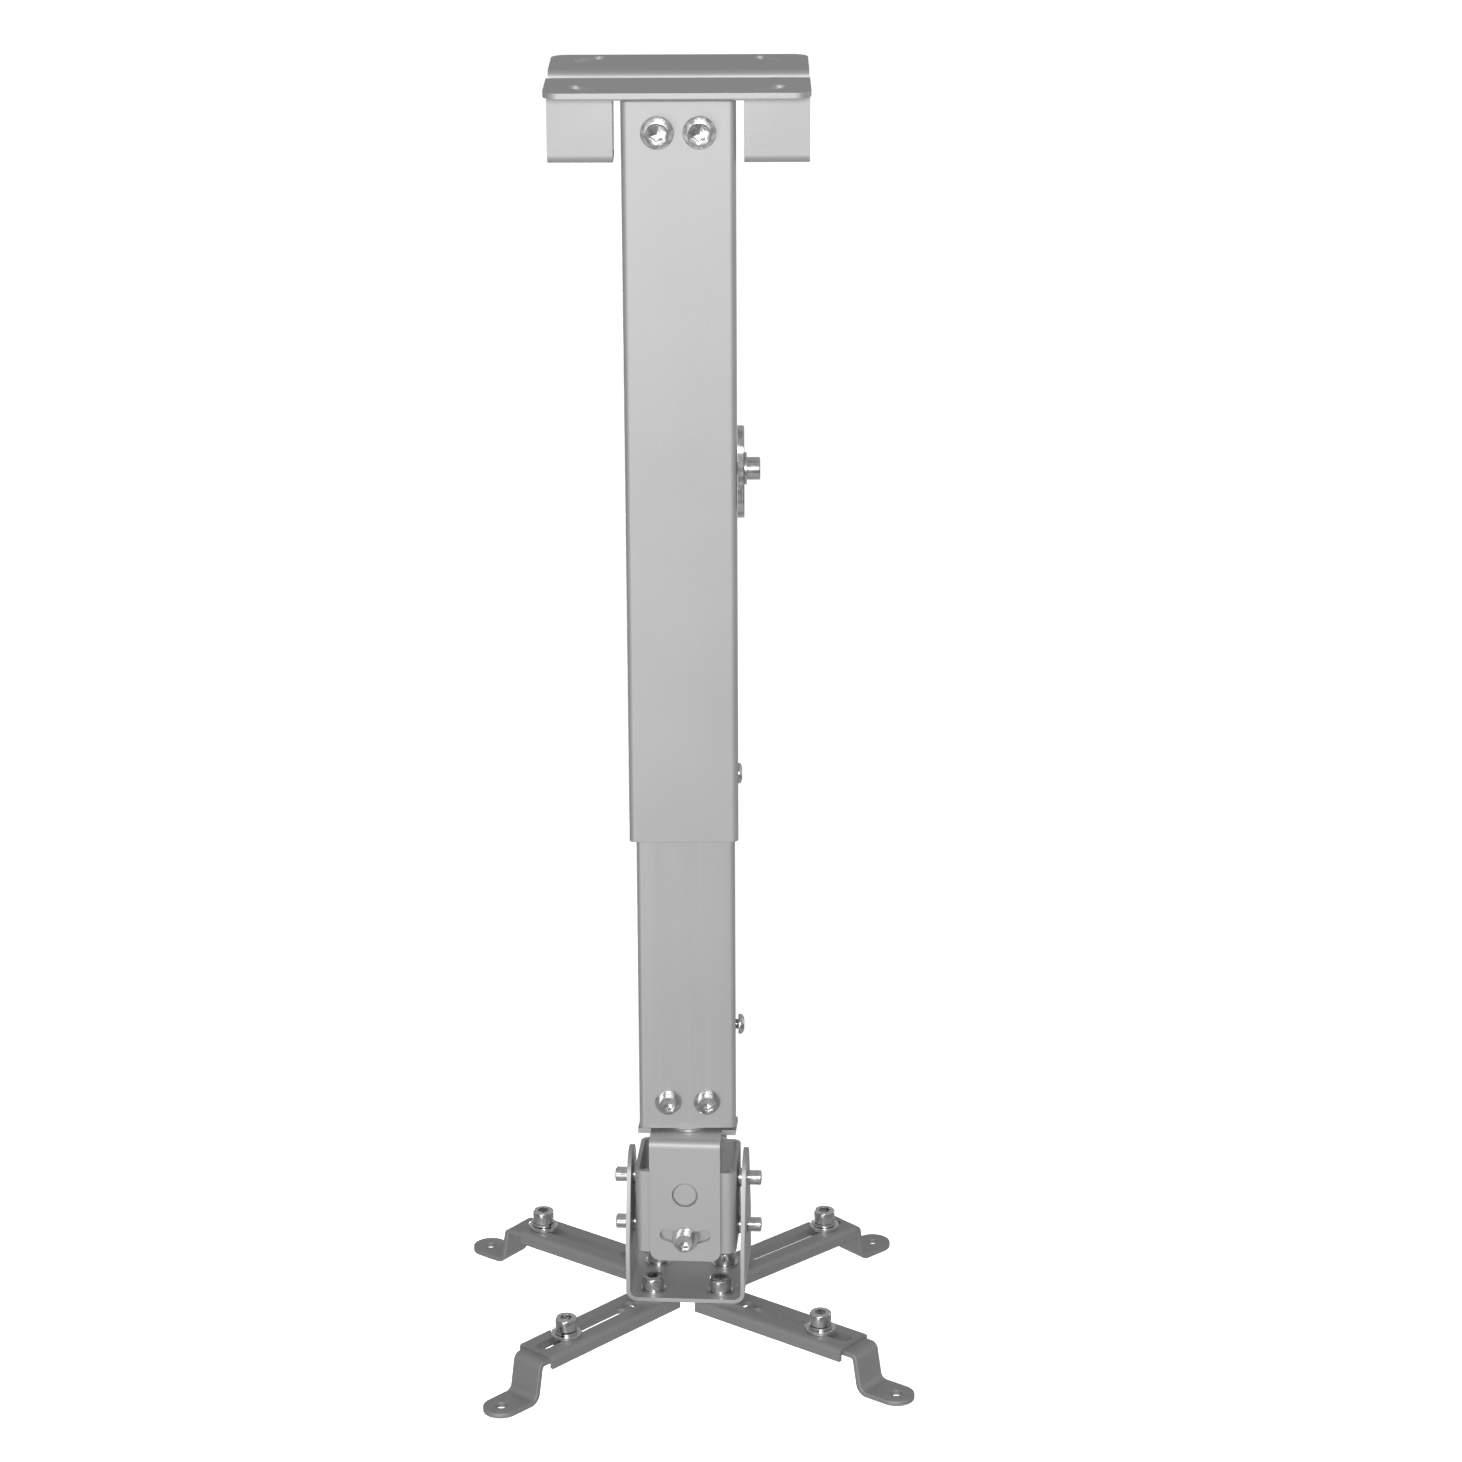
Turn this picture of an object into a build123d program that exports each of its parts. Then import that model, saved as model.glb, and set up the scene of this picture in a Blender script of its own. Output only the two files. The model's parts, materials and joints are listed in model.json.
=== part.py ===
"""Projector ceiling mount: ceiling bracket, sliding square-section drop tubes, a head that
swivels, rolls and tilts, and four slotted arms with sliding Z-bent legs.

Millimetres, +Z up. The origin is in the ceiling plane, at the centre of the ceiling bracket.
The front of the mount faces -Y. Everything below the swivel is turned by HEAD_YAW about Z.
"""
from build123d import *

import os

# Ceiling bracket: one folded sheet with two flanges and a closed channel between them
BRACKET_LENGTH = 114.0
BRACKET_DEPTH = 100.0
BRACKET_SHEET = 2.5
BRACKET_DROP = 37.5
BRACKET_CORNER = 7.0
BRACKET_BEND = 3.6
CHANNEL_FIT = 0.1
CEILING_SLOT_INSET_X = 17.5
CEILING_SLOT_INSET_Y = 12.0
CEILING_SLOT_LENGTH = 18.0
CEILING_SLOT_WIDTH = 7.0
NOTCH_SIDE_GAP = 3.5
NOTCH_TOP = 10.0

# Outer tube
OUTER_WIDTH = 50.0
OUTER_DEPTH = 25.0
OUTER_WALL = 1.5
OUTER_CORNER = 3.0
OUTER_BOTTOM = 350.5
TOP_BOLT_PITCH = 18.4
TOP_BOLT_DROP = 23.5

# Inner tube, clamped against the right wall of the outer one
INNER_WALL = 1.5
INNER_CORNER = 2.6
INNER_TOP = 150.0
INNER_BOTTOM = 494.5
TUBE_FIT = 0.1
TUBE_SIDE_PLAY = 1.6
TUBE_DEPTH_PLAY = 0.5
HEIGHT_UP = 90.0
HEIGHT_DOWN = 115.0

# Height clamp on the right side
HEIGHT_SCREW_DROP = 177.0
HEIGHT_PLATE_LENGTH = 42.0
HEIGHT_PLATE_WIDTH = 22.5
HEIGHT_PLATE_THICKNESS = 3.1
HEIGHT_PLATE_OFFSET = 1.5
HEIGHT_PLATE_GAP = 0.1
HEIGHT_WASHER = (14.5, 1.1)
HEIGHT_SLOT_WIDTH = 6.6
GUIDE_SCREW_DROP = 321.5
GUIDE_SLOT_WIDTH = 5.6
GUIDE_HEAD = (9.5, 1.8)
STOP_SCREW_DROP = 446.0
STOP_SCREW_STAND = 1.3

# Neck bracket in the lower end of the inner tube
NECK_SHEET = 2.0
NECK_HEIGHT = 24.0
NECK_FIT = 0.1
NECK_SCREW_PITCH = 18.2
NECK_SCREW_RISE = 13.5

# Swivel
HEAD_YAW = -4.0
SWIVEL_SPACER_THICKNESS = 1.8
SWIVEL_SPACER_DIAMETER = 24.0
SWIVEL_BOLT = 8.0
SWIVEL_HEAD = (13.0, 5.3)
SWIVEL_NUT = (13.0, 4.5)

# Yoke: a web with one tab in front and one behind
YOKE_SHEET = 2.5
YOKE_WEB_WIDTH = 46.0
YOKE_TAB_WIDTH = 33.4
YOKE_TAB_HEIGHT = 61.7
YOKE_SHOULDER = 8.0
YOKE_TAB_CORNER = 5.0
YOKE_BEND = 3.6

# Tilt block: an open sleeve of folded sheet
BLOCK_WIDTH = 47.7
BLOCK_DEPTH = 39.0
BLOCK_HEIGHT = 41.5
BLOCK_SHEET = 2.0
BLOCK_CORNER = 4.0
BLOCK_DROP = 17.0
BLOCK_GAP = 0.1
PIVOT_DROP = 10.7
ROLL_PIN_DIAMETER = 12.0
ROLL_PIN_TAIL = 8.0
ROLL_PIN_RECESS = 0.6
ROLL_LOCK_RADIUS = 22.5
ROLL_SLOT_HALF_ANGLE = 23.5
ROLL_SLOT_WIDTH = 6.0
TILT_LOCK_RADIUS = 24.5
TILT_RANGE = 15.0
TILT_SLOT_WIDTH = 4.6

# Cradle: two cheeks and a floor
CRADLE_SHEET = 2.0
CRADLE_INNER_WIDTH = 52.3
CRADLE_DEPTH = 47.0
CRADLE_FLOOR_DROP = 53.0
CRADLE_CHEEK_RADIUS = 14.3
CRADLE_SHOULDER_DROP = 26.0
CRADLE_BEND = 5.5
TILT_HEAD_DIAMETER = 7.0
TILT_HEAD_HEIGHT = 6.5
TILT_SCREW = 4.0
TILT_SPACER_DIAMETER = 9.0

# Arms: folded channels with a long slot
ARM_WIDTH = 22.0
ARM_FLANGE = 6.5
ARM_SHEET = 1.8
ARM_LENGTH = 78.0
ARM_TAIL = 7.0
ARM_CORNER = 2.5
ARM_SLOT_START = 17.0
ARM_SLOT_END = 73.0
ARM_SLOT_WIDTH = 6.5
ARM_PIVOT_PITCH_X = 32.0
ARM_PIVOT_PITCH_Y = 29.0
FLAT_GAP = 0.05

# Legs: flat bars bent into a Z, with a slot for the clamp screw
LEG_WIDTH = 17.0
LEG_SHEET = 2.5
LEG_DROP = 18.9
LEG_TAIL = 72.0
LEG_SIDE_SHIFT = 0.6
LEG_BEND = 3.5
LEG_SLOT_NEAR = 15.0
LEG_SLOT_END_WALL = 3.9
LEG_SLOT_WIDTH = 8.2
FOOT_REACH = 15.5
FOOT_HOLE = 5.3

# How far out on its arm each leg is clamped, and how far that screw stands from the leg's bend
FRONT_LEFT_REACH = 58.3
FRONT_RIGHT_REACH = 59.0
BACK_LEFT_REACH = 72.0
BACK_RIGHT_REACH = 66.3
FRONT_GRIP = 27.7
BACK_GRIP = 18.7

# The corner that each arm swings on, the way it points about Z, its reach and its grip
ARM_LAYOUT = {
    "front_left": (-1, -1, -129.0, FRONT_LEFT_REACH, FRONT_GRIP),
    "front_right": (1, -1, -33.5, FRONT_RIGHT_REACH, FRONT_GRIP),
    "back_left": (-1, 1, 147.0, BACK_LEFT_REACH, BACK_GRIP),
    "back_right": (1, 1, 46.5, BACK_RIGHT_REACH, BACK_GRIP),
}

# Fasteners
HOLE_CLEARANCE = 0.2
M4_NUT = (7.0, 3.2)
M5 = 5.0
M5_HEAD = (8.5, 5.0, 4.0)
M5_NUT = (8.0, 4.0)
M5_WASHER = (12.3, 1.0)
M6 = 6.0
M6_HEAD = (10.2, 6.0, 5.0)
M6_NUT = (10.0, 5.0)
M6_WASHER = (12.4, 1.2)
M6_WIDE_WASHER = (14.5, 1.6)
M6_SPRING_WASHER = (10.8, 1.6)
BUTTON_HEAD = (9.5, 2.8)

# Heights worked out from the sizes above, as distances below the ceiling
WEB_TOP = INNER_BOTTOM + SWIVEL_SPACER_THICKNESS
BLOCK_TOP = WEB_TOP + BLOCK_DROP
PIVOT = BLOCK_TOP + PIVOT_DROP
FLOOR_TOP = PIVOT + CRADLE_FLOOR_DROP
ARM_TOP = FLOOR_TOP + CRADLE_SHEET + FLAT_GAP
LEG_TOP = ARM_TOP + ARM_SHEET + FLAT_GAP
LEG_SLOT_FAR = LEG_TAIL - LEG_SLOT_END_WALL - LEG_SLOT_WIDTH / 2

CHANNEL_DEPTH = OUTER_DEPTH - 2 * OUTER_WALL - 2 * CHANNEL_FIT
CEILING_SLOT_PITCH_X = BRACKET_LENGTH - 2 * CEILING_SLOT_INSET_X
CEILING_SLOT_PITCH_Y = BRACKET_DEPTH - 2 * CEILING_SLOT_INSET_Y
OUTER_FACE = OUTER_WIDTH / 2
INNER_WIDTH = OUTER_WIDTH - 2 * OUTER_WALL - TUBE_FIT - TUBE_SIDE_PLAY
INNER_DEPTH = OUTER_DEPTH - 2 * OUTER_WALL - 2 * TUBE_DEPTH_PLAY
INNER_SHIFT = OUTER_FACE - OUTER_WALL - TUBE_FIT - INNER_WIDTH / 2
INNER_FACE = INNER_SHIFT + INNER_WIDTH / 2
TAB_FACE = BLOCK_DEPTH / 2 + BLOCK_GAP + YOKE_SHEET
CHEEK_FACE = CRADLE_INNER_WIDTH / 2 + CRADLE_SHEET

FRONT = Rotation(90, 0, 0)
BACK = Rotation(-90, 0, 0)
RIGHT = Rotation(0, 90, 0)
LEFT = Rotation(0, -90, 0)
HEAD = Location((INNER_SHIFT, 0, 0), (0, 0, HEAD_YAW))


def place(x, y, z, turn=Rotation(0, 0, 0)):
    """A location at a point, turned."""
    return Location((x, y, z)) * turn


def save(piece, label, where=Location()):
    """Put a finished piece where it belongs, label it and write its file."""
    piece.part = piece.part.moved(where)
    piece.part.label = label
    export_step(piece.part, f"parts/{label}.step")


def cap_screw(shank, head, length):
    """A socket cap screw: head up from z = 0, shank down from it."""
    diameter, height, socket = head
    with BuildPart() as screw:
        with BuildSketch():
            Circle(diameter / 2)
        extrude(amount=height)
        chamfer(screw.edges().sort_by(Axis.Z)[-1], 0.5)
        with BuildSketch(Plane.XY.offset(height)):
            RegularPolygon(socket / 2, 6, major_radius=False)
        extrude(amount=-height / 2, mode=Mode.SUBTRACT)
        with BuildSketch():
            Circle(shank / 2)
        extrude(amount=-length)
    return screw.part


def button_screw(shank, head, length):
    """A low screw with a domed head."""
    diameter, height = head
    with BuildPart() as screw:
        with BuildSketch():
            Circle(diameter / 2)
        extrude(amount=height)
        fillet(screw.edges().sort_by(Axis.Z)[-1], height * 0.6)
        with BuildSketch():
            Circle(shank / 2)
        extrude(amount=-length)
    return screw.part


def hex_nut(thread, size):
    """A plain nut on z = 0, growing up."""
    across, height = size
    with BuildPart() as nut:
        with BuildSketch():
            RegularPolygon(across / 2, 6, major_radius=False)
            Circle(thread / 2, mode=Mode.SUBTRACT)
        extrude(amount=height)
    return nut.part


def ring(bore, outside, thickness):
    """A washer or spacer on z = 0, growing up."""
    with BuildPart() as washer:
        with BuildSketch():
            Circle(outside / 2)
            Circle(bore / 2, mode=Mode.SUBTRACT)
        extrude(amount=thickness)
    return washer.part


def group(item, places):
    """The same piece at several places, as separate solids."""
    with BuildPart() as pieces:
        with Locations(*places):
            add(item)
    return pieces


def rounded_tube(width, depth, wall, corner, bottom, top):
    """A rectangular tube between two distances below the ceiling."""
    with BuildPart() as tube:
        with BuildSketch(Plane.XY.offset(-bottom)):
            RectangleRounded(width, depth, corner)
            RectangleRounded(width - 2 * wall, depth - 2 * wall, corner - wall, mode=Mode.SUBTRACT)
        extrude(amount=bottom - top)
    return tube.part


def make_bracket():
    """The folded ceiling bracket with its slots, notches and bolt holes."""
    half = BRACKET_DEPTH / 2
    wall = CHANNEL_DEPTH / 2
    with BuildPart() as ceiling_bracket:
        inner_wall = wall - BRACKET_SHEET
        with BuildSketch(Plane.YZ.offset(-BRACKET_LENGTH / 2)):
            Rectangle(BRACKET_DEPTH, BRACKET_SHEET, align=(Align.CENTER, Align.MAX))
            Rectangle(2 * wall, BRACKET_DROP, align=(Align.CENTER, Align.MAX))
            Rectangle(
                2 * inner_wall, BRACKET_DROP - BRACKET_SHEET,
                align=(Align.CENTER, Align.MAX), mode=Mode.SUBTRACT,
            )
        extrude(amount=BRACKET_LENGTH)
        lengthwise = ceiling_bracket.edges().filter_by(Axis.X)
        inside = lengthwise.filter_by(lambda e: abs(abs(e.center().Y) - inner_wall) < 0.01)
        outside = lengthwise.filter_by(lambda e: abs(abs(e.center().Y) - wall) < 0.01)
        wide = inside.sort_by(Axis.Z)[-2:] + outside.sort_by(Axis.Z)[:2]
        tight = inside.sort_by(Axis.Z)[:2] + outside.sort_by(Axis.Z)[-2:]
        fillet(wide, BRACKET_BEND)
        fillet(tight, BRACKET_BEND - BRACKET_SHEET)
        corners = ceiling_bracket.edges().filter_by(Axis.Z).filter_by(
            lambda edge: abs(edge.center().Y) > half - 1
        )
        fillet(corners, BRACKET_CORNER)
        for x in (-1, 1):
            for y in (-1, 1):
                with BuildSketch(Plane.XY):
                    with Locations((x * CEILING_SLOT_PITCH_X / 2, y * CEILING_SLOT_PITCH_Y / 2)):
                        SlotOverall(CEILING_SLOT_LENGTH, CEILING_SLOT_WIDTH, rotation=-45 * x * y)
                extrude(amount=-BRACKET_SHEET, mode=Mode.SUBTRACT)
        tab_half = OUTER_FACE - OUTER_CORNER - CHANNEL_FIT
        notch_half = OUTER_FACE + NOTCH_SIDE_GAP
        with BuildSketch(Plane.XZ.offset(-half)):
            for x in (-1, 1):
                with Locations((x * (notch_half + tab_half) / 2, -(NOTCH_TOP + BRACKET_DROP) / 2)):
                    Rectangle(notch_half - tab_half, BRACKET_DROP - NOTCH_TOP)
        extrude(amount=BRACKET_DEPTH, mode=Mode.SUBTRACT)
        with BuildSketch(Plane.XZ.offset(-half)):
            for x in (-1, 1):
                with Locations((x * TOP_BOLT_PITCH / 2, -TOP_BOLT_DROP)):
                    Circle(M6 / 2 + HOLE_CLEARANCE)
        extrude(amount=BRACKET_DEPTH, mode=Mode.SUBTRACT)
    save(ceiling_bracket, "ceiling_bracket")


def make_outer_tube():
    """The outer tube, with bolt holes, the height slot and the guide screw's hole."""
    with BuildPart() as outer_tube:
        add(rounded_tube(OUTER_WIDTH, OUTER_DEPTH, OUTER_WALL, OUTER_CORNER, OUTER_BOTTOM, NOTCH_TOP))
        with BuildSketch(Plane.XZ.offset(-OUTER_DEPTH)):
            for x in (-1, 1):
                with Locations((x * TOP_BOLT_PITCH / 2, -TOP_BOLT_DROP)):
                    Circle(M6 / 2 + HOLE_CLEARANCE)
        extrude(amount=2 * OUTER_DEPTH, mode=Mode.SUBTRACT)
        slot_middle = HEIGHT_SCREW_DROP + (HEIGHT_DOWN - HEIGHT_UP) / 2
        with BuildSketch(Plane.YZ.offset(OUTER_FACE / 2)):
            with Locations((0, -slot_middle)):
                SlotCenterToCenter(HEIGHT_UP + HEIGHT_DOWN, HEIGHT_SLOT_WIDTH, rotation=90)
            with Locations((0, -GUIDE_SCREW_DROP)):
                Circle(M5 / 2)
        extrude(amount=OUTER_FACE, mode=Mode.SUBTRACT)
    save(outer_tube, "outer_tube")


def make_top_fasteners():
    """The four bolts that hold the outer tube to the bracket, two in front and two behind."""
    face = OUTER_DEPTH / 2
    wall = CHANNEL_DEPTH / 2 - BRACKET_SHEET
    length = M6_WIDE_WASHER[1] + face - wall + M6_NUT[1] + 0.6
    bolts = []
    washers = []
    nuts = []
    for x in (-TOP_BOLT_PITCH / 2, TOP_BOLT_PITCH / 2):
        for side, turn in ((-1, FRONT), (1, BACK)):
            washers.append(place(x, side * face, -TOP_BOLT_DROP, turn))
            bolts.append(place(x, side * (face + M6_WIDE_WASHER[1]), -TOP_BOLT_DROP, turn))
            nuts.append(place(x, side * (wall - M6_NUT[1]), -TOP_BOLT_DROP, turn))
    save(group(cap_screw(M6, M6_HEAD, length), bolts), "top_bolts")
    save(group(ring(M6, *M6_WIDE_WASHER), washers), "top_washers")
    save(group(hex_nut(M6, M6_NUT), nuts), "top_nuts")


def make_inner_tube():
    """The inner tube, with holes for its screws and the slot that the guide screw runs in."""
    shift = Location((INNER_SHIFT, 0, 0))
    with BuildPart() as inner_tube:
        tube = rounded_tube(INNER_WIDTH, INNER_DEPTH, INNER_WALL, INNER_CORNER, INNER_BOTTOM, INNER_TOP)
        add(tube.moved(shift))
        middle = GUIDE_SCREW_DROP + (HEIGHT_UP - HEIGHT_DOWN) / 2
        with BuildSketch(Plane.YZ.offset(OUTER_FACE / 2)):
            with Locations((0, -middle)):
                SlotCenterToCenter(HEIGHT_UP + HEIGHT_DOWN, GUIDE_SLOT_WIDTH, rotation=90)
            with Locations((0, -HEIGHT_SCREW_DROP)):
                Circle(M6 / 2)
            with Locations((0, -STOP_SCREW_DROP)):
                Circle(M5 / 2)
        extrude(amount=OUTER_FACE, mode=Mode.SUBTRACT)
        with BuildSketch(Plane.XZ.offset(-OUTER_DEPTH)):
            for x in (-1, 1):
                with Locations((INNER_SHIFT + x * NECK_SCREW_PITCH / 2, -INNER_BOTTOM + NECK_SCREW_RISE)):
                    Circle(M5 / 2 + HOLE_CLEARANCE)
        extrude(amount=2 * OUTER_DEPTH, mode=Mode.SUBTRACT)
    save(inner_tube, "inner_tube")


def make_height_clamp():
    """The clamp that fixes the height, the guide screw and the stop screw."""
    plate_face = OUTER_FACE + HEIGHT_PLATE_GAP
    washer_face = plate_face + HEIGHT_PLATE_THICKNESS
    head_face = washer_face + HEIGHT_WASHER[1]
    with BuildPart() as height_plate:
        with BuildSketch(Plane.YZ.offset(plate_face)):
            with Locations((0, -HEIGHT_SCREW_DROP - HEIGHT_PLATE_OFFSET)):
                SlotOverall(HEIGHT_PLATE_LENGTH, HEIGHT_PLATE_WIDTH, rotation=90)
            with Locations((0, -HEIGHT_SCREW_DROP)):
                Circle(M6 / 2 + HOLE_CLEARANCE, mode=Mode.SUBTRACT)
        extrude(amount=HEIGHT_PLATE_THICKNESS)
        rim = height_plate.faces().sort_by(Axis.X)[-1].outer_wire().edges()
        chamfer(rim, 0.5)
    save(height_plate, "height_plate")
    nut_face = INNER_FACE - INNER_WALL - M6_NUT[1]
    length = head_face - nut_face + 0.6
    at = -HEIGHT_SCREW_DROP
    save(group(ring(M6, *HEIGHT_WASHER), [place(washer_face, 0, at, RIGHT)]), "height_washer")
    save(group(cap_screw(M6, M6_HEAD, length), [place(head_face, 0, at, RIGHT)]), "height_screw")
    save(group(hex_nut(M6, M6_NUT), [place(nut_face, 0, at, RIGHT)]), "height_nut")
    reach = OUTER_WALL + TUBE_FIT + INNER_WALL
    guide = button_screw(M5, GUIDE_HEAD, reach)
    save(group(guide, [place(OUTER_FACE, 0, -GUIDE_SCREW_DROP, RIGHT)]), "guide_screw")
    stop_face = INNER_FACE + STOP_SCREW_STAND
    stop = button_screw(M5, BUTTON_HEAD, STOP_SCREW_STAND + INNER_WALL + M5_NUT[1] + 0.6)
    save(group(stop, [place(stop_face, 0, -STOP_SCREW_DROP, RIGHT)]), "stop_screw")
    stop_nut_face = INNER_FACE - INNER_WALL - M5_NUT[1]
    save(group(hex_nut(M5, M5_NUT), [place(stop_nut_face, 0, -STOP_SCREW_DROP, RIGHT)]), "stop_nut")


def make_neck():
    """The U-shaped bracket in the inner tube's end, and the screws that hold it."""
    width = INNER_WIDTH - 2 * INNER_CORNER - 2 * NECK_FIT
    depth = INNER_DEPTH - 2 * INNER_WALL - 2 * NECK_FIT
    with BuildPart() as neck_bracket:
        with BuildSketch(Plane.YZ.offset(-width / 2)):
            with Locations((0, -INNER_BOTTOM)):
                Rectangle(depth, NECK_HEIGHT, align=(Align.CENTER, Align.MIN))
            with Locations((0, -INNER_BOTTOM + NECK_SHEET)):
                Rectangle(
                    depth - 2 * NECK_SHEET, NECK_HEIGHT,
                    align=(Align.CENTER, Align.MIN), mode=Mode.SUBTRACT,
                )
        extrude(amount=width)
        lower = neck_bracket.edges().filter_by(Axis.X).group_by(Axis.Z)[0]
        fillet(lower, NECK_SHEET)
        with BuildSketch(Plane.XY.offset(-INNER_BOTTOM)):
            Circle(SWIVEL_BOLT / 2 + HOLE_CLEARANCE)
        extrude(amount=NECK_SHEET, mode=Mode.SUBTRACT)
        with BuildSketch(Plane.XZ.offset(-depth)):
            for x in (-1, 1):
                with Locations((x * NECK_SCREW_PITCH / 2, -INNER_BOTTOM + NECK_SCREW_RISE)):
                    Circle(M5 / 2 + HOLE_CLEARANCE)
        extrude(amount=2 * depth, mode=Mode.SUBTRACT)
    save(neck_bracket, "neck_bracket", Location((INNER_SHIFT, 0, 0)))
    face = INNER_DEPTH / 2
    wall = depth / 2 - NECK_SHEET
    length = M5_WASHER[1] + face - wall + M5_NUT[1] + 0.4
    height = -INNER_BOTTOM + NECK_SCREW_RISE
    screws = []
    washers = []
    nuts = []
    for side, turn in ((-1, FRONT), (1, BACK)):
        for row in (-1, 1):
            x = INNER_SHIFT + row * NECK_SCREW_PITCH / 2
            washers.append(place(x, side * face, height, turn))
            screws.append(place(x, side * (face + M5_WASHER[1]), height, turn))
            nuts.append(place(x, side * (wall - M5_NUT[1]), height, turn))
    save(group(cap_screw(M5, M5_HEAD, length), screws), "neck_screws")
    save(group(ring(M5, *M5_WASHER), washers), "neck_washers")
    save(group(hex_nut(M5, M5_NUT), nuts), "neck_nuts")


def make_swivel():
    """The vertical swivel bolt, its nut, and the spacer that the head turns on."""
    web_bottom = WEB_TOP + YOKE_SHEET
    across, head_height = SWIVEL_HEAD
    length = web_bottom - INNER_BOTTOM + NECK_SHEET + SWIVEL_NUT[1] + 0.8
    with BuildPart() as bolt:
        with BuildSketch(Plane.XY.offset(-web_bottom)):
            RegularPolygon(across / 2, 6, major_radius=False)
        extrude(amount=-head_height)
        with BuildSketch(Plane.XY.offset(-web_bottom)):
            Circle(SWIVEL_BOLT / 2)
        extrude(amount=length)
    save(bolt, "swivel_bolt", HEAD)
    spacer = ring(SWIVEL_BOLT + 0.2, SWIVEL_SPACER_DIAMETER, SWIVEL_SPACER_THICKNESS)
    save(group(spacer, [place(0, 0, -WEB_TOP)]), "swivel_spacer", HEAD)
    nut = hex_nut(SWIVEL_BOLT + 0.1, SWIVEL_NUT)
    save(group(nut, [place(INNER_SHIFT, 0, -INNER_BOTTOM + NECK_SHEET)]), "swivel_nut")


def arc_slot(radius, half_angle, width):
    """A slot along an arc below the origin, as a sketch to add to another."""
    with BuildSketch() as slot:
        with BuildLine():
            CenterArc((0, 0), radius, -90 - half_angle, 2 * half_angle)
            offset(amount=width / 2)
        make_face()
    return slot.sketch


def make_yoke():
    """The folded yoke: web on top, a tab in front and one behind with an arc slot."""
    lock_slot = arc_slot(ROLL_LOCK_RADIUS, ROLL_SLOT_HALF_ANGLE, ROLL_SLOT_WIDTH)
    with BuildPart() as yoke:
        with BuildSketch(Plane.YZ.offset(-YOKE_WEB_WIDTH / 2)):
            with Locations((0, -WEB_TOP)):
                Rectangle(2 * TAB_FACE, YOKE_TAB_HEIGHT, align=(Align.CENTER, Align.MAX))
            with Locations((0, -WEB_TOP - YOKE_SHEET)):
                Rectangle(
                    2 * (TAB_FACE - YOKE_SHEET), YOKE_TAB_HEIGHT,
                    align=(Align.CENTER, Align.MAX), mode=Mode.SUBTRACT,
                )
        extrude(amount=YOKE_WEB_WIDTH)
        lengthwise = yoke.edges().filter_by(Axis.X)
        fillet(lengthwise.group_by(Axis.Z)[-1], YOKE_BEND)
        fillet(lengthwise.filter_by(lambda e: abs(e.center().Z + WEB_TOP + YOKE_SHEET) < 0.01), 1.1)
        tab_rows = 2 * TAB_FACE + 2
        with BuildSketch(Plane.XZ.offset(-tab_rows / 2)):
            for x in (-1, 1):
                with Locations((x * YOKE_WEB_WIDTH / 2, -WEB_TOP - YOKE_BEND)):
                    Rectangle(
                        YOKE_WEB_WIDTH - YOKE_TAB_WIDTH, YOKE_TAB_HEIGHT,
                        align=(Align.CENTER, Align.MAX),
                    )
        extrude(amount=tab_rows, mode=Mode.SUBTRACT)
        with BuildSketch(Plane.XY.offset(-WEB_TOP)):
            for x in (-1, 1):
                for y in (-1, 1):
                    with Locations((x * YOKE_WEB_WIDTH / 2, y * (YOKE_SHOULDER + TAB_FACE) / 2)):
                        Rectangle(YOKE_WEB_WIDTH - YOKE_TAB_WIDTH, TAB_FACE - YOKE_SHOULDER)
        extrude(amount=-YOKE_SHEET - YOKE_BEND, mode=Mode.SUBTRACT)
        feet = yoke.edges().filter_by(Axis.Y).group_by(Axis.Z)[0]
        fillet(feet, YOKE_TAB_CORNER)
        with BuildSketch(Plane.XY.offset(-WEB_TOP)):
            Circle(SWIVEL_BOLT / 2 + 0.1)
        extrude(amount=-YOKE_SHEET, mode=Mode.SUBTRACT)
        with BuildSketch(Plane(origin=(0, tab_rows / 2, -PIVOT), x_dir=(1, 0, 0), z_dir=(0, -1, 0))):
            Circle(ROLL_PIN_DIAMETER / 2 + 0.05)
            add(lock_slot)
        extrude(amount=tab_rows, mode=Mode.SUBTRACT)
    save(yoke, "yoke", HEAD)


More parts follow.
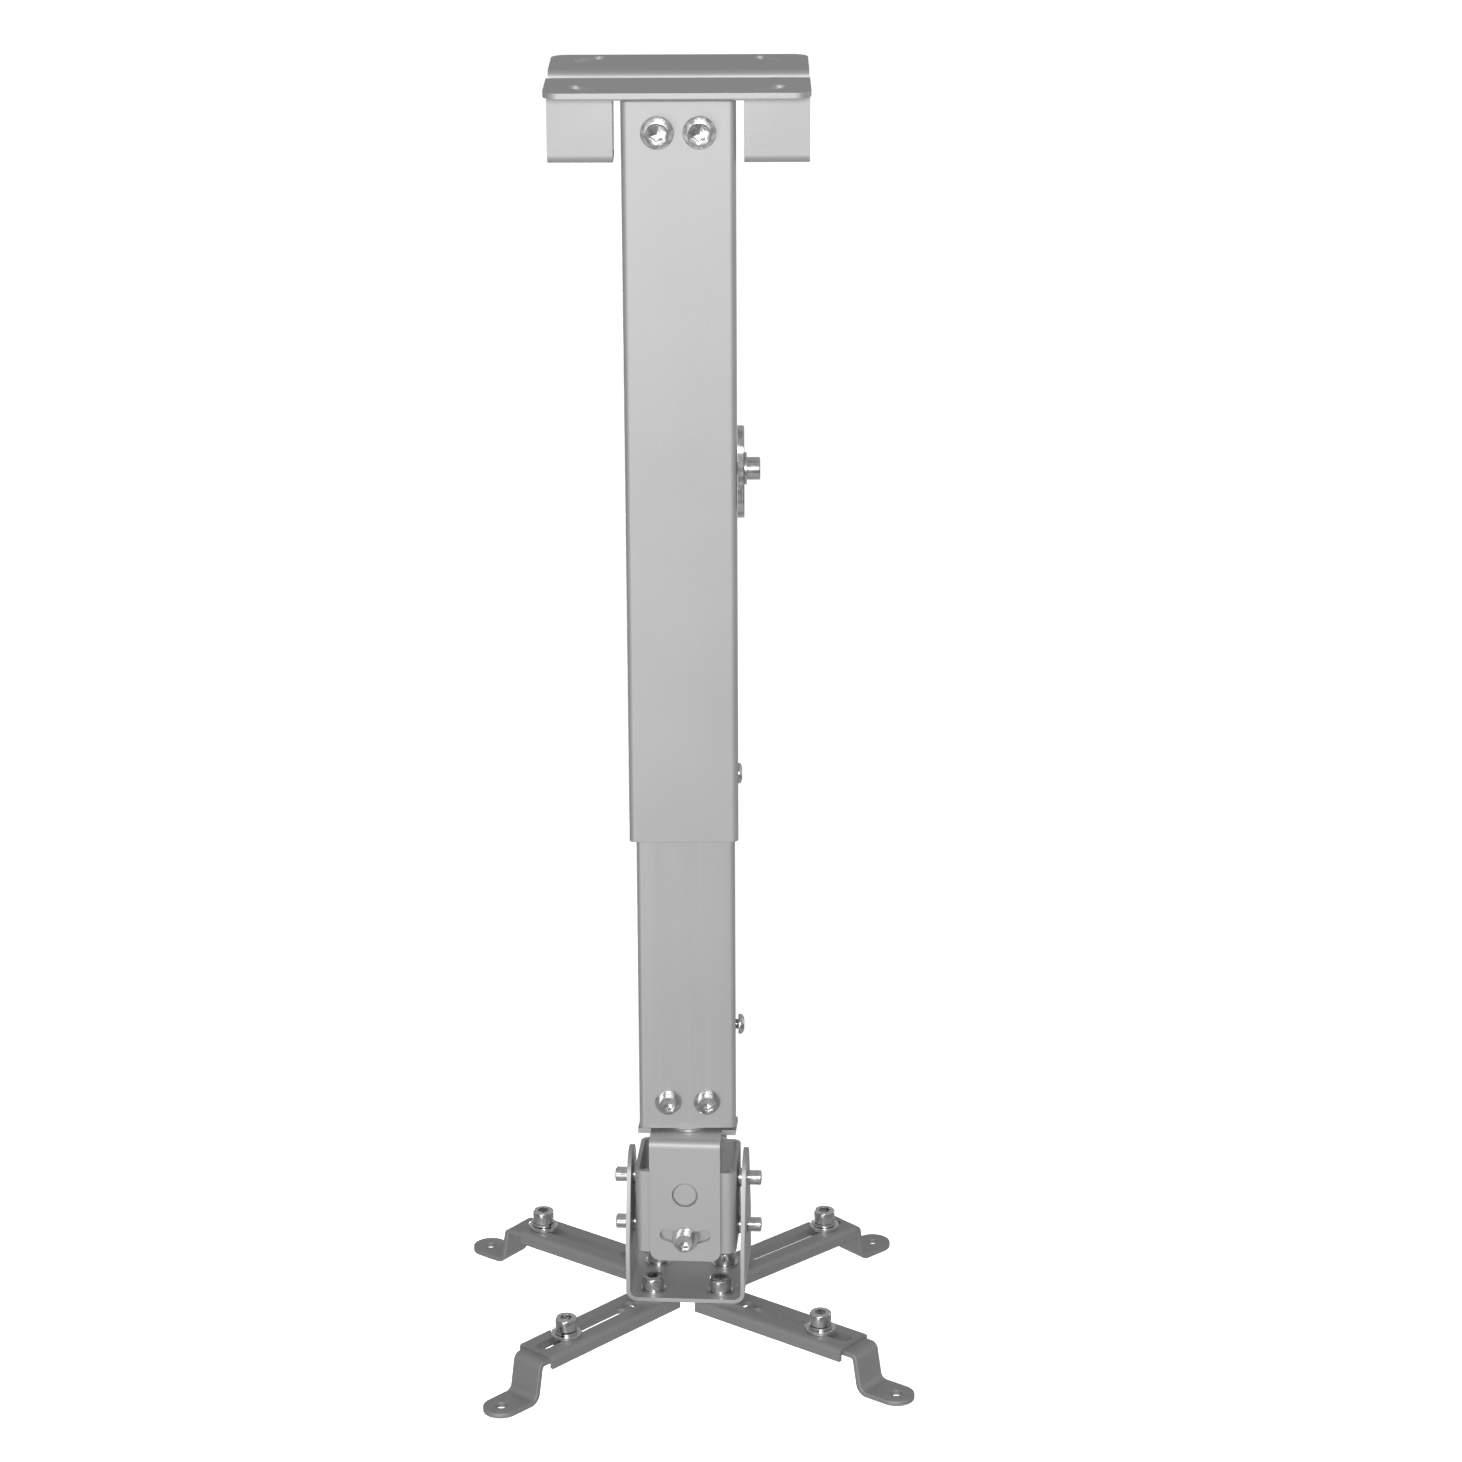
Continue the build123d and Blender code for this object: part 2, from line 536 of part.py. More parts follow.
def make_block():
    """The open sleeve that both tilt axes are fixed to, with its pins and lock screws."""
    with BuildPart() as tilt_block:
        with BuildSketch(Plane.XY.offset(-BLOCK_TOP)):
            RectangleRounded(BLOCK_WIDTH, BLOCK_DEPTH, BLOCK_CORNER)
            RectangleRounded(
                BLOCK_WIDTH - 2 * BLOCK_SHEET, BLOCK_DEPTH - 2 * BLOCK_SHEET,
                BLOCK_CORNER - BLOCK_SHEET, mode=Mode.SUBTRACT,
            )
        extrude(amount=-BLOCK_HEIGHT)
        with BuildSketch(Plane(origin=(0, BLOCK_DEPTH, -PIVOT), x_dir=(1, 0, 0), z_dir=(0, -1, 0))):
            Circle(ROLL_PIN_TAIL / 2)
            with Locations((0, -ROLL_LOCK_RADIUS)):
                Circle(M5 / 2)
        extrude(amount=2 * BLOCK_DEPTH, mode=Mode.SUBTRACT)
        with BuildSketch(Plane(origin=(-BLOCK_WIDTH, 0, -PIVOT), x_dir=(0, 1, 0), z_dir=(1, 0, 0))):
            Circle(TILT_SCREW / 2)
            with Locations((0, -TILT_LOCK_RADIUS)):
                Circle(TILT_SCREW / 2)
        extrude(amount=2 * BLOCK_WIDTH, mode=Mode.SUBTRACT)
    save(tilt_block, "tilt_block", HEAD)

    seat = BLOCK_DEPTH / 2
    shoulder = TAB_FACE - seat - ROLL_PIN_RECESS
    with BuildPart() as pin:
        with BuildSketch():
            Circle(ROLL_PIN_DIAMETER / 2)
        extrude(amount=shoulder)
        chamfer(pin.edges().sort_by(Axis.Z)[-1], 0.8)
        with BuildSketch():
            Circle(ROLL_PIN_TAIL / 2)
        extrude(amount=-BLOCK_SHEET)
        with BuildSketch(Plane.XY.offset(-BLOCK_SHEET)):
            Circle(ROLL_PIN_TAIL / 2 + 1.2)
        extrude(amount=-1.2)
    pins = [place(0, side * seat, -PIVOT, turn) for side, turn in ((-1, FRONT), (1, BACK))]
    save(group(pin.part, pins), "roll_pins", HEAD)

    height = -PIVOT - ROLL_LOCK_RADIUS
    inside = seat - BLOCK_SHEET
    face = TAB_FACE + FLAT_GAP
    length = M5_WASHER[1] + face - inside + M5_NUT[1] + 0.6
    ends = ((-1, FRONT), (1, BACK))
    washers = [place(0, side * face, height, turn) for side, turn in ends]
    screws = [place(0, side * (face + M5_WASHER[1]), height, turn) for side, turn in ends]
    nuts = [place(0, side * (inside - M5_NUT[1]), height, turn) for side, turn in ends]
    save(group(cap_screw(M5, M5_HEAD, length), screws), "roll_lock_screws", HEAD)
    save(group(ring(M5, *M5_WASHER), washers), "roll_lock_washers", HEAD)
    save(group(hex_nut(M5, M5_NUT), nuts), "roll_lock_nuts", HEAD)


def make_cradle():
    """The U-shaped cradle that the arms hang from, and its tilt screws."""
    half = CRADLE_DEPTH / 2
    outer = CRADLE_INNER_WIDTH + 2 * CRADLE_SHEET
    tall = CRADLE_FLOOR_DROP + CRADLE_SHEET + CRADLE_CHEEK_RADIUS
    bottom = -FLOOR_TOP - CRADLE_SHEET
    tilt_slot = arc_slot(TILT_LOCK_RADIUS, TILT_RANGE, TILT_SLOT_WIDTH)
    with BuildPart() as cradle:
        with BuildSketch(Plane.XZ.offset(-half)):
            with Locations((0, bottom)):
                Rectangle(outer, tall, align=(Align.CENTER, Align.MIN))
            with Locations((0, bottom + CRADLE_SHEET)):
                Rectangle(CRADLE_INNER_WIDTH, tall, align=(Align.CENTER, Align.MIN), mode=Mode.SUBTRACT)
        extrude(amount=CRADLE_DEPTH)
        lengthwise = cradle.edges().filter_by(Axis.Y).group_by(Axis.Z)
        fillet(lengthwise[0], CRADLE_BEND)
        inside = cradle.edges().filter_by(Axis.Y).filter_by(
            lambda edge: abs(edge.center().Z + FLOOR_TOP) < 0.01
        )
        fillet(inside, CRADLE_BEND - CRADLE_SHEET)
        with BuildSketch(Plane(origin=(-outer, 0, -PIVOT), x_dir=(0, 1, 0), z_dir=(1, 0, 0))):
            Circle(CRADLE_CHEEK_RADIUS)
            with Locations((0, -CRADLE_SHOULDER_DROP)):
                Rectangle(
                    CRADLE_DEPTH, CRADLE_FLOOR_DROP + CRADLE_SHEET - CRADLE_SHOULDER_DROP,
                    align=(Align.CENTER, Align.MAX),
                )
            make_hull()
        extrude(amount=2 * outer, mode=Mode.INTERSECT)
        with BuildSketch(Plane(origin=(-outer, 0, -PIVOT), x_dir=(0, 1, 0), z_dir=(1, 0, 0))):
            Circle(TILT_SCREW / 2 + 0.1)
            add(tilt_slot)
        extrude(amount=2 * outer, mode=Mode.SUBTRACT)
        with BuildSketch(Plane.XY.offset(-FLOOR_TOP)):
            with GridLocations(ARM_PIVOT_PITCH_X, ARM_PIVOT_PITCH_Y, 2, 2):
                Circle(M6 / 2 + 0.1)
        extrude(amount=-CRADLE_SHEET, mode=Mode.SUBTRACT)
    save(cradle, "cradle", HEAD)

    wall = BLOCK_WIDTH / 2
    spacer_length = CRADLE_INNER_WIDTH / 2 - wall - 2 * FLAT_GAP
    length = CHEEK_FACE - wall + BLOCK_SHEET + M4_NUT[1] + 0.6
    with BuildPart() as screw:
        with BuildSketch():
            Circle(TILT_HEAD_DIAMETER / 2)
        extrude(amount=TILT_HEAD_HEIGHT)
        fillet(screw.edges().sort_by(Axis.Z)[-1], 0.6)
        with BuildSketch(Plane.XY.offset(TILT_HEAD_HEIGHT)):
            RegularPolygon(1.5, 6, major_radius=False)
        extrude(amount=-2.0, mode=Mode.SUBTRACT)
        with BuildSketch():
            Circle(TILT_SCREW / 2)
        extrude(amount=-length)
    ends = ((-1, LEFT), (1, RIGHT))
    for label, height in (
        ("tilt_pivot", -PIVOT),
        ("tilt_lock", -PIVOT - TILT_LOCK_RADIUS),
    ):
        screws = [place(side * (CHEEK_FACE + FLAT_GAP), 0, height, turn) for side, turn in ends]
        spacers = [place(side * (wall + FLAT_GAP), 0, height, turn) for side, turn in ends]
        inside = wall - BLOCK_SHEET - M4_NUT[1]
        nuts = [place(side * inside, 0, height, turn) for side, turn in ends]
        save(group(screw.part, screws), f"{label}_screws", HEAD)
        save(group(ring(TILT_SCREW, TILT_SPACER_DIAMETER, spacer_length), spacers), f"{label}_spacers", HEAD)
        save(group(hex_nut(TILT_SCREW, M4_NUT), nuts), f"{label}_nuts", HEAD)


def make_arm_pivots():
    """The four screws that the arms swing on."""
    corners = [
        (x * ARM_PIVOT_PITCH_X / 2, y * ARM_PIVOT_PITCH_Y / 2)
        for x, y, *rest in ARM_LAYOUT.values()
    ]
    length = M6_WASHER[1] + CRADLE_SHEET + ARM_SHEET + 2 * FLAT_GAP + M6_NUT[1] + 0.6
    under = ARM_TOP + ARM_SHEET + FLAT_GAP + M6_NUT[1]
    washers = [place(x, y, -FLOOR_TOP) for x, y in corners]
    screws = [place(x, y, -FLOOR_TOP + M6_WASHER[1]) for x, y in corners]
    nuts = [place(x, y, -under) for x, y in corners]
    save(group(cap_screw(M6, M6_HEAD, length), screws), "arm_pivot_screws", HEAD)
    save(group(ring(M6, *M6_WASHER), washers), "arm_pivot_washers", HEAD)
    save(group(hex_nut(M6, M6_NUT), nuts), "arm_pivot_nuts", HEAD)


def make_arm():
    """One channel arm: pivot at the origin, top face at z = 0, pointing along +X."""
    whole = ARM_LENGTH + ARM_TAIL
    with BuildPart() as arm:
        with BuildSketch(Plane.YZ.offset(-ARM_TAIL)):
            Rectangle(ARM_WIDTH, ARM_FLANGE, align=(Align.CENTER, Align.MAX))
            with Locations((0, -ARM_SHEET)):
                Rectangle(
                    ARM_WIDTH - 2 * ARM_SHEET, ARM_FLANGE,
                    align=(Align.CENTER, Align.MAX), mode=Mode.SUBTRACT,
                )
        extrude(amount=whole)
        fillet(arm.edges().filter_by(Axis.X).group_by(Axis.Z)[-1], ARM_CORNER)
        with BuildSketch():
            Circle(M6 / 2 + 0.1)
            with Locations(((ARM_SLOT_START + ARM_SLOT_END) / 2, 0)):
                SlotCenterToCenter(ARM_SLOT_END - ARM_SLOT_START, ARM_SLOT_WIDTH)
        extrude(amount=-ARM_SHEET, mode=Mode.SUBTRACT)
    return arm.part


def make_leg(grip):
    """One leg: clamp screw at the origin, top face at z = 0, foot along +X."""
    back = grip - LEG_TAIL
    face = grip
    tip = grip + FOOT_REACH + LEG_WIDTH / 2
    with BuildPart() as leg:
        with BuildSketch(Plane.XZ.offset(-LEG_WIDTH / 2)):
            with BuildLine():
                Polyline(
                    (back, 0),
                    (face, 0),
                    (face, -LEG_DROP),
                    (tip, -LEG_DROP),
                    (tip, -LEG_DROP - LEG_SHEET),
                    (face - LEG_SHEET, -LEG_DROP - LEG_SHEET),
                    (face - LEG_SHEET, -LEG_SHEET),
                    (back, -LEG_SHEET),
                    close=True,
                )
            make_face()
        extrude(amount=LEG_WIDTH)
        across = leg.edges().filter_by(Axis.Y)
        wide = across.filter_by(
            lambda e: (abs(e.center().X - face) < 0.01 and abs(e.center().Z) < 0.01)
            or (abs(e.center().X - face + LEG_SHEET) < 0.01
                and abs(e.center().Z + LEG_DROP + LEG_SHEET) < 0.01)
        )
        tight = across.filter_by(
            lambda e: (abs(e.center().X - face) < 0.01 and abs(e.center().Z + LEG_DROP) < 0.01)
            or (abs(e.center().X - face + LEG_SHEET) < 0.01 and abs(e.center().Z + LEG_SHEET) < 0.01)
        )
        fillet(wide, LEG_BEND)
        fillet(tight, LEG_BEND - LEG_SHEET)
        ends = leg.edges().filter_by(Axis.Z)
        fillet(ends.group_by(Axis.X)[-1], LEG_WIDTH / 2 - 0.05)
        fillet(ends.group_by(Axis.X)[0], 3.0)
        with BuildSketch():
            with Locations((grip - (LEG_SLOT_NEAR + LEG_SLOT_FAR) / 2, 0)):
                SlotCenterToCenter(LEG_SLOT_FAR - LEG_SLOT_NEAR, LEG_SLOT_WIDTH)
        extrude(amount=-LEG_SHEET, mode=Mode.SUBTRACT)
        with BuildSketch(Plane.XY.offset(-LEG_DROP)):
            with Locations((grip + FOOT_REACH, 0)):
                Circle(FOOT_HOLE / 2)
        extrude(amount=-LEG_SHEET, mode=Mode.SUBTRACT)
    return leg.part


def make_arms_and_legs():
    """The four arms and, on each, a leg with its clamp screw, washers and nut."""
    make_arm_pivots()
    seat = -ARM_TOP + FLAT_GAP
    above = M6_WIDE_WASHER[1] + M6_SPRING_WASHER[1]
    under = LEG_TOP + LEG_SHEET + FLAT_GAP + M6_WASHER[1]
    screw = cap_screw(M6, M6_HEAD, seat + above + under + M6_NUT[1] + 0.8)
    for name, (x, y, angle, reach, grip) in ARM_LAYOUT.items():
        pivot = Location((x * ARM_PIVOT_PITCH_X / 2, y * ARM_PIVOT_PITCH_Y / 2, 0), (0, 0, angle))
        arm_place = HEAD * pivot
        clamp = arm_place * Location((reach, 0, 0))
        pieces = {
            f"{name}_arm": (make_arm(), arm_place * Location((0, 0, -ARM_TOP))),
            f"{name}_leg": (make_leg(grip), clamp * Location((0, LEG_SIDE_SHIFT, -LEG_TOP))),
            f"{name}_screw": (screw, clamp * Location((0, 0, seat + above))),
            f"{name}_nut": (
                hex_nut(M6, M6_NUT), clamp * Location((0, 0, -under - M6_NUT[1])),
            ),
        }
        for label, (piece, where) in pieces.items():
            save(group(piece, [where]), label)
        rings = [
            (ring(M6, *M6_WIDE_WASHER), seat),
            (ring(M6, *M6_SPRING_WASHER), seat + M6_WIDE_WASHER[1]),
            (ring(M6, *M6_WASHER), -under),
        ]
        with BuildPart() as washers:
            for washer, z in rings:
                with Locations(clamp * Location((0, 0, z))):
                    add(washer)
        save(washers, f"{name}_washers")


os.makedirs("parts", exist_ok=True)
make_bracket()
make_outer_tube()
make_top_fasteners()
make_inner_tube()
make_height_clamp()
make_neck()
make_swivel()
make_yoke()
make_block()
make_cradle()
make_arms_and_legs()
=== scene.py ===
import json
import math

import bmesh
import bpy
from mathutils import Matrix, Vector

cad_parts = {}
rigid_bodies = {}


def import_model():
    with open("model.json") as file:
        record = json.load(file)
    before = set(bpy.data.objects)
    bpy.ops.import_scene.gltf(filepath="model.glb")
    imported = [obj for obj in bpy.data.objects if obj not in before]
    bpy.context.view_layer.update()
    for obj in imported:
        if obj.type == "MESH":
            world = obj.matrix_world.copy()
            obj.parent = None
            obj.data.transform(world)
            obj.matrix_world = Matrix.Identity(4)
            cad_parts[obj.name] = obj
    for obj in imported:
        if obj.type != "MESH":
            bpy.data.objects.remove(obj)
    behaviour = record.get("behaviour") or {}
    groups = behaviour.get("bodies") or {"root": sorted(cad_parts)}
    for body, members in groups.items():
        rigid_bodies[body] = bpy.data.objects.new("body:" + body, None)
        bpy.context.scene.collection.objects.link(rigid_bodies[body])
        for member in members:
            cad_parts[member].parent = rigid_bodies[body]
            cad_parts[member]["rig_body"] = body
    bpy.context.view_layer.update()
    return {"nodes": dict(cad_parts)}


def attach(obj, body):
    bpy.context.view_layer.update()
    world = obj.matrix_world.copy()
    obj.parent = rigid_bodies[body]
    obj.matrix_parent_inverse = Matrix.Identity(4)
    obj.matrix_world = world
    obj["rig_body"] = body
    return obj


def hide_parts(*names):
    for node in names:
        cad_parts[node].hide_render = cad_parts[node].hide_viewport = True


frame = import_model()

bl_info = {
    "name": "Projector Ceiling Mount",
    "version": (1, 0, 0),
    "blender": (4, 5, 0),
    "location": "View3D > Sidebar > Ceiling Mount",
    "description": "Dresses the packed ceiling mount with painted sheet metal and plated hardware",
    "category": "Object",
}

MM = 0.001
UP = Vector((0, 0, 1))
ACROSS = Vector((1, 0, 0))
DEEP = Vector((0, 1, 0))
HEAD_YAW = math.radians(-4.0)
HEAD_ACROSS = Vector((math.cos(HEAD_YAW), math.sin(HEAD_YAW), 0))
HEAD_DEEP = Vector((-math.sin(HEAD_YAW), math.cos(HEAD_YAW), 0))
ARMS = ("front_left", "front_right", "back_left", "back_right")

# Places along a leg's bar, measured inwards from the outside of its bend. The setback is
# where the bend starts, and the foot's hole lies outwards.
LEG_GRIP = {"front": 27.7 * MM, "back": 18.7 * MM}
LEG_SETBACK = 4.7 * MM
LEG_SLOT_NEAR = 15 * MM
LEG_SLOT_FAR = 64 * MM
LEG_SLOT_RADIUS = 3.2 * MM
LEG_TAIL = 72 * MM
LEG_CORNER = 2.5 * MM
LEG_HALF_WIDTH = 8.5 * MM
LEG_SIDE_SHIFT = 0.6 * MM
FOOT_HOLE_REACH = 15.5 * MM
FOOT_HOLE_RADIUS = 2.65 * MM

# Edges stay sharp above the first two angles, and faces within the third become one.
SHARP_ANGLE = math.radians(32)
LEG_SHARP_ANGLE = math.radians(50)
FLAT_ANGLE = math.radians(0.6)
SAME_POINT = 1e-6
SAME_PLANE = 1e-7

# Screws and nuts: sides of a round head and of a shank, grooves round a head, the
# mouth of a socket against its flats, and how steeply a hexagon's corners are turned off.
HEAD_SIDES = 72
HEAD_GROOVES = 36
SHANK_SIDES = 30
RINGS_PER_THREAD = 6
SOCKET_MOUTH = 1.2
CORNER_SLOPE = 1.9

# The finishes: width of the rubbed edges, and depth of the orange peel and the zinc's grain.
WORN_WIDTH = 0.6 * MM
PEEL_DEPTH = 0.12 * MM
GRAIN_DEPTH = 0.04 * MM
BEVEL_SAMPLES = 4

# Name, place, target, size in metres and power in watts of each softbox.
LIGHTS = (
    ("Key", (-0.9, -2.2, -0.7), (0, 0, -0.35), 1.1, 9),
    ("Fill", (0.8, -2.3, 0.2), (0, 0, -0.3), 0.6, 2),
    ("Side fill", (2.4, 1.4, -0.5), (0, 0, -0.3), 1.2, 4),
    ("Flash", (0.03, -1.78, 0.34), (0, 0, -0.3), 0.12, 13.5),
    ("Back fill", (-0.7, 2.4, -1.05), (0, 0, -0.25), 0.9, 30),
)
WORLD_LIGHT = 0.22
WORLD_MIRRORED = 0.16


class Value:
    """A node socket that takes part in ordinary arithmetic."""

    def __init__(self, graph, socket):
        self.graph = graph
        self.socket = socket

    def math(self, operation, *others):
        return self.graph.node("ShaderNodeMath", {"operation": operation}, {
            i: item for i, item in enumerate((self, *others))
        })

    def __add__(self, other):
        return self.math("ADD", other)

    def __sub__(self, other):
        return self.math("SUBTRACT", other)

    def __mul__(self, other):
        return self.math("MULTIPLY", other)

    def __truediv__(self, other):
        return self.math("DIVIDE", other)

    def __rsub__(self, other):
        return self.graph.node("ShaderNodeMath", {"operation": "SUBTRACT"}, {0: other, 1: self})

    __radd__ = __add__
    __rmul__ = __mul__


class Graph:
    """Adds nodes to a tree and links them."""

    def __init__(self, tree):
        self.tree = tree

    def node(self, kind, options=None, inputs=None, output=0):
        """Adds a node, sets its options and then its inputs, and gives one output."""
        made = self.tree.nodes.new(kind)
        for name, setting in (options or {}).items():
            setattr(made, name, setting)
        for name, item in (inputs or {}).items():
            socket = made.inputs[name]
            if isinstance(item, Value):
                self.tree.links.new(item.socket, socket)
            else:
                socket.default_value = item
        self.last = made
        return Value(self, made.outputs[output]) if made.outputs else None


class MOUNT_PG_finish(bpy.types.PropertyGroup):
    """Colours and finish of the mount."""

    paint: bpy.props.FloatVectorProperty(
        name="Paint", description="Colour of the silver powder coat",
        default=(0.60, 0.60, 0.60), subtype="COLOR", min=0, max=1,
    )
    # The arms and legs carry the same silver coat, painted darker: painted shade standing in for
    # the light their level tops lack.
    arm_paint: bpy.props.FloatVectorProperty(
        name="Arm paint, painted shade", description="Colour of the coat on the arms and legs",
        default=(0.43, 0.43, 0.43), subtype="COLOR", min=0, max=1,
    )
    zinc: bpy.props.FloatVectorProperty(
        name="Zinc", description="Colour of the plated screws, nuts and washers",
        default=(0.74, 0.74, 0.75), subtype="COLOR", min=0, max=1,
    )
    paint_roughness: bpy.props.FloatProperty(
        name="Paint roughness", description="How matt the powder coat is",
        default=0.54, min=0, max=1, subtype="FACTOR",
    )
    flake: bpy.props.FloatProperty(
        name="Flake", description="Share of metal flake in the powder coat",
        default=0.62, min=0, max=1, subtype="FACTOR",
    )
    zinc_roughness: bpy.props.FloatProperty(
        name="Zinc roughness", description="How matt the plating is",
        default=0.2, min=0, max=1, subtype="FACTOR",
    )
    edge: bpy.props.FloatProperty(
        name="Edge", description="Width of the rounded edge on the sheet metal",
        default=0.3 * MM, min=0, max=MM, subtype="DISTANCE", unit="LENGTH",
    )


class MOUNT_PG_hardware(bpy.types.PropertyGroup):
    """Sizes of the screw threads and heads."""

    thread_depth: bpy.props.FloatProperty(
        name="Thread depth", description="Depth of a thread as a share of its pitch",
        default=0.5, min=0, max=0.7, subtype="FACTOR",
    )
    knurl: bpy.props.FloatProperty(
        name="Knurl", description="Depth of the grooves round a screw head",
        default=0.04 * MM, min=0, max=0.4 * MM, subtype="DISTANCE", unit="LENGTH",
    )
    chamfer: bpy.props.FloatProperty(
        name="Chamfer", description="Width of the chamfer on heads and washers",
        default=0.4 * MM, min=0, max=MM, subtype="DISTANCE", unit="LENGTH",
    )
    seed: bpy.props.IntProperty(
        name="Seed", description="Changes how far each screw and nut is turned",
        default=4, min=0,
    )


class MOUNT_PG_legs(bpy.types.PropertyGroup):
    """How the four legs are bent."""

    sheet: bpy.props.FloatProperty(
        name="Sheet", description="Thickness of a leg",
        default=2.5 * MM, min=MM, max=3 * MM, subtype="DISTANCE", unit="LENGTH",
    )
    drop: bpy.props.FloatProperty(
        name="Drop", description="How far the foot lies below the bar",
        default=17.6 * MM, min=10 * MM, max=19 * MM, subtype="DISTANCE", unit="LENGTH",
    )
    slope: bpy.props.FloatProperty(
        name="Slope", description="How steeply the middle part goes down",
        default=math.radians(80), min=math.radians(60), max=math.radians(90),
        subtype="ANGLE", unit="ROTATION",
    )
    upper_bend: bpy.props.FloatProperty(
        name="Upper bend", description="Radius of the bend above, in the middle of the sheet",
        default=2.5 * MM, min=1.5 * MM, max=4 * MM, subtype="DISTANCE", unit="LENGTH",
    )
    lower_bend: bpy.props.FloatProperty(
        name="Lower bend", description="Radius of the bend below, in the middle of the sheet",
        default=4.5 * MM, min=1.5 * MM, max=6 * MM, subtype="DISTANCE", unit="LENGTH",
    )


class MOUNT_PG_stage(bpy.types.PropertyGroup):
    """Camera and floor."""

    camera_place: bpy.props.FloatVectorProperty(
        name="Camera", description="Where the camera stands",
        default=(0.02526, -1.7525, 0.2953), subtype="TRANSLATION", unit="LENGTH",
    )
    pitch: bpy.props.FloatProperty(
        name="Pitch", description="How far down the camera looks",
        default=0.328, subtype="ANGLE", unit="ROTATION",
    )
    yaw: bpy.props.FloatProperty(
        name="Yaw", description="How far the camera is turned to the left",
        default=0.002, subtype="ANGLE", unit="ROTATION",
    )
    roll: bpy.props.FloatProperty(
        name="Roll", description="How far the picture is turned",
        default=-0.004, subtype="ANGLE", unit="ROTATION",
    )
    lens: bpy.props.FloatProperty(
        name="Lens", description="Focal length on a 36 mm wide sensor",
        default=99.72, min=10, unit="CAMERA",
    )
    floor_drop: bpy.props.FloatProperty(
        name="Floor", description="How far the floor lies below the ceiling",
        default=1.6, min=0.61, subtype="DISTANCE", unit="LENGTH",
    )


def settings(group):
    """One group of settings: finish, hardware, legs or stage."""
    return getattr(bpy.context.scene, "mount_" + group)


def linked(name, data):
    """A new object in the scene."""
    made = bpy.data.objects.new(name, data)
    bpy.context.scene.collection.objects.link(made)
    return made


def new_material(name):
    """A new material and its empty graph."""
    material = bpy.data.materials.new(name)
    material.use_nodes = True
    material.node_tree.nodes.clear()
    return material, Graph(material.node_tree)


def finish_material(graph, values):
    """A Principled shader with these sockets, linked to the output."""
    shader = graph.node("ShaderNodeBsdfPrincipled", {}, values)
    graph.node("ShaderNodeOutputMaterial", {}, {"Surface": shader})


def object_noise(graph, scale, detail=3.0, stretch=(1, 1, 1), rough=0.5):
    """Noise in the piece's own coordinates, in cells per metre."""
    place = graph.node("ShaderNodeTexCoord", output="Object")
    place = graph.node("ShaderNodeMapping", {}, {"Vector": place, "Scale": stretch})
    return graph.node(
        "ShaderNodeTexNoise", {},
        {"Vector": place, "Scale": scale, "Detail": detail, "Roughness": rough},
    )


def edge_mask(graph, radius):
    """Near 1 along the edges of the metal and 0 on its faces."""
    soft = graph.node("ShaderNodeBevel", {"samples": BEVEL_SAMPLES}, {"Radius": radius})
    true = graph.node("ShaderNodeNewGeometry", output="Normal")
    facing = graph.node(
        "ShaderNodeVectorMath", {"operation": "DOT_PRODUCT"}, {0: soft, 1: true}, "Value",
    )
    return graph.node("ShaderNodeMapRange", {}, {
        "Value": facing, "From Min": 0.98, "From Max": 0.75, "To Min": 0.0, "To Max": 1.0,
    })


def mixed(graph, factor, low, high):
    """A colour between two greys."""
    return graph.node(
        "ShaderNodeMix", {"data_type": "RGBA"},
        {"Factor": factor, 6: (*low, 1), 7: (*high, 1)}, 2,
    )


def scaled(colour, share):
    """A colour made lighter or darker."""
    return tuple(min(1, part * share) for part in colour)


def powder_coat(name, colour, roughness, streaks=0.0):
    """Satin silver powder coat: fine orange peel, flake and rubbed edges."""
    finish = settings("finish")
    material, graph = new_material(name)
    cloud = object_noise(graph, 14, 3)
    flake = object_noise(graph, 2600, 2, rough=0.6)
    peel = object_noise(graph, 650, 2)
    tone = (cloud * 0.45 + flake * 0.55)
    if streaks:
        rub = object_noise(graph, 900, 4, (1, 1, 0.012), 0.65)
        tone = tone * (1 - streaks) + rub * streaks
    tone = graph.node("ShaderNodeMapRange", {}, {"Value": tone, "From Min": 0.3, "From Max": 0.7})
    coat = mixed(graph, tone, scaled(colour, 0.93), scaled(colour, 1.07))
    worn = edge_mask(graph, WORN_WIDTH) * graph.node("ShaderNodeMapRange", {}, {
        "Value": object_noise(graph, 220, 4), "From Min": 0.45, "From Max": 0.7,
    })
    base = graph.node("ShaderNodeMix", {"data_type": "RGBA"}, {
        "Factor": worn * 0.2, 6: coat, 7: (*scaled(colour, 1.1), 1),
    }, 2)
    matt = roughness - 0.05 + tone * 0.1 - worn * 0.12
    rounded = graph.node("ShaderNodeBevel", {"samples": BEVEL_SAMPLES}, {"Radius": finish.edge})
    bump = graph.node("ShaderNodeBump", {}, {
        "Strength": 0.22, "Distance": PEEL_DEPTH, "Height": peel * 0.8 + flake * 0.2,
        "Normal": rounded,
    })
    finish_material(graph, {
        "Base Color": base, "Roughness": matt, "Metallic": finish.flake, "Normal": bump,
    })
    return material


def plated(name, colour, roughness):
    """Bright zinc plate with faint cloudiness and handling marks."""
    material, graph = new_material(name)
    cloud = object_noise(graph, 420, 4)
    fine = object_noise(graph, 5200, 2)
    tone = graph.node("ShaderNodeMapRange", {}, {
        "Value": cloud * 0.7 + fine * 0.3, "From Min": 0.35, "From Max": 0.65,
    })
    base = mixed(graph, tone, scaled(colour, 0.86), scaled(colour, 1.06))
    matt = roughness - 0.05 + tone * 0.14
    bump = graph.node(
        "ShaderNodeBump", {}, {"Strength": 0.12, "Distance": GRAIN_DEPTH, "Height": fine},
    )
    finish_material(graph, {
        "Base Color": base, "Roughness": matt, "Metallic": 1.0, "Normal": bump,
    })
    return material


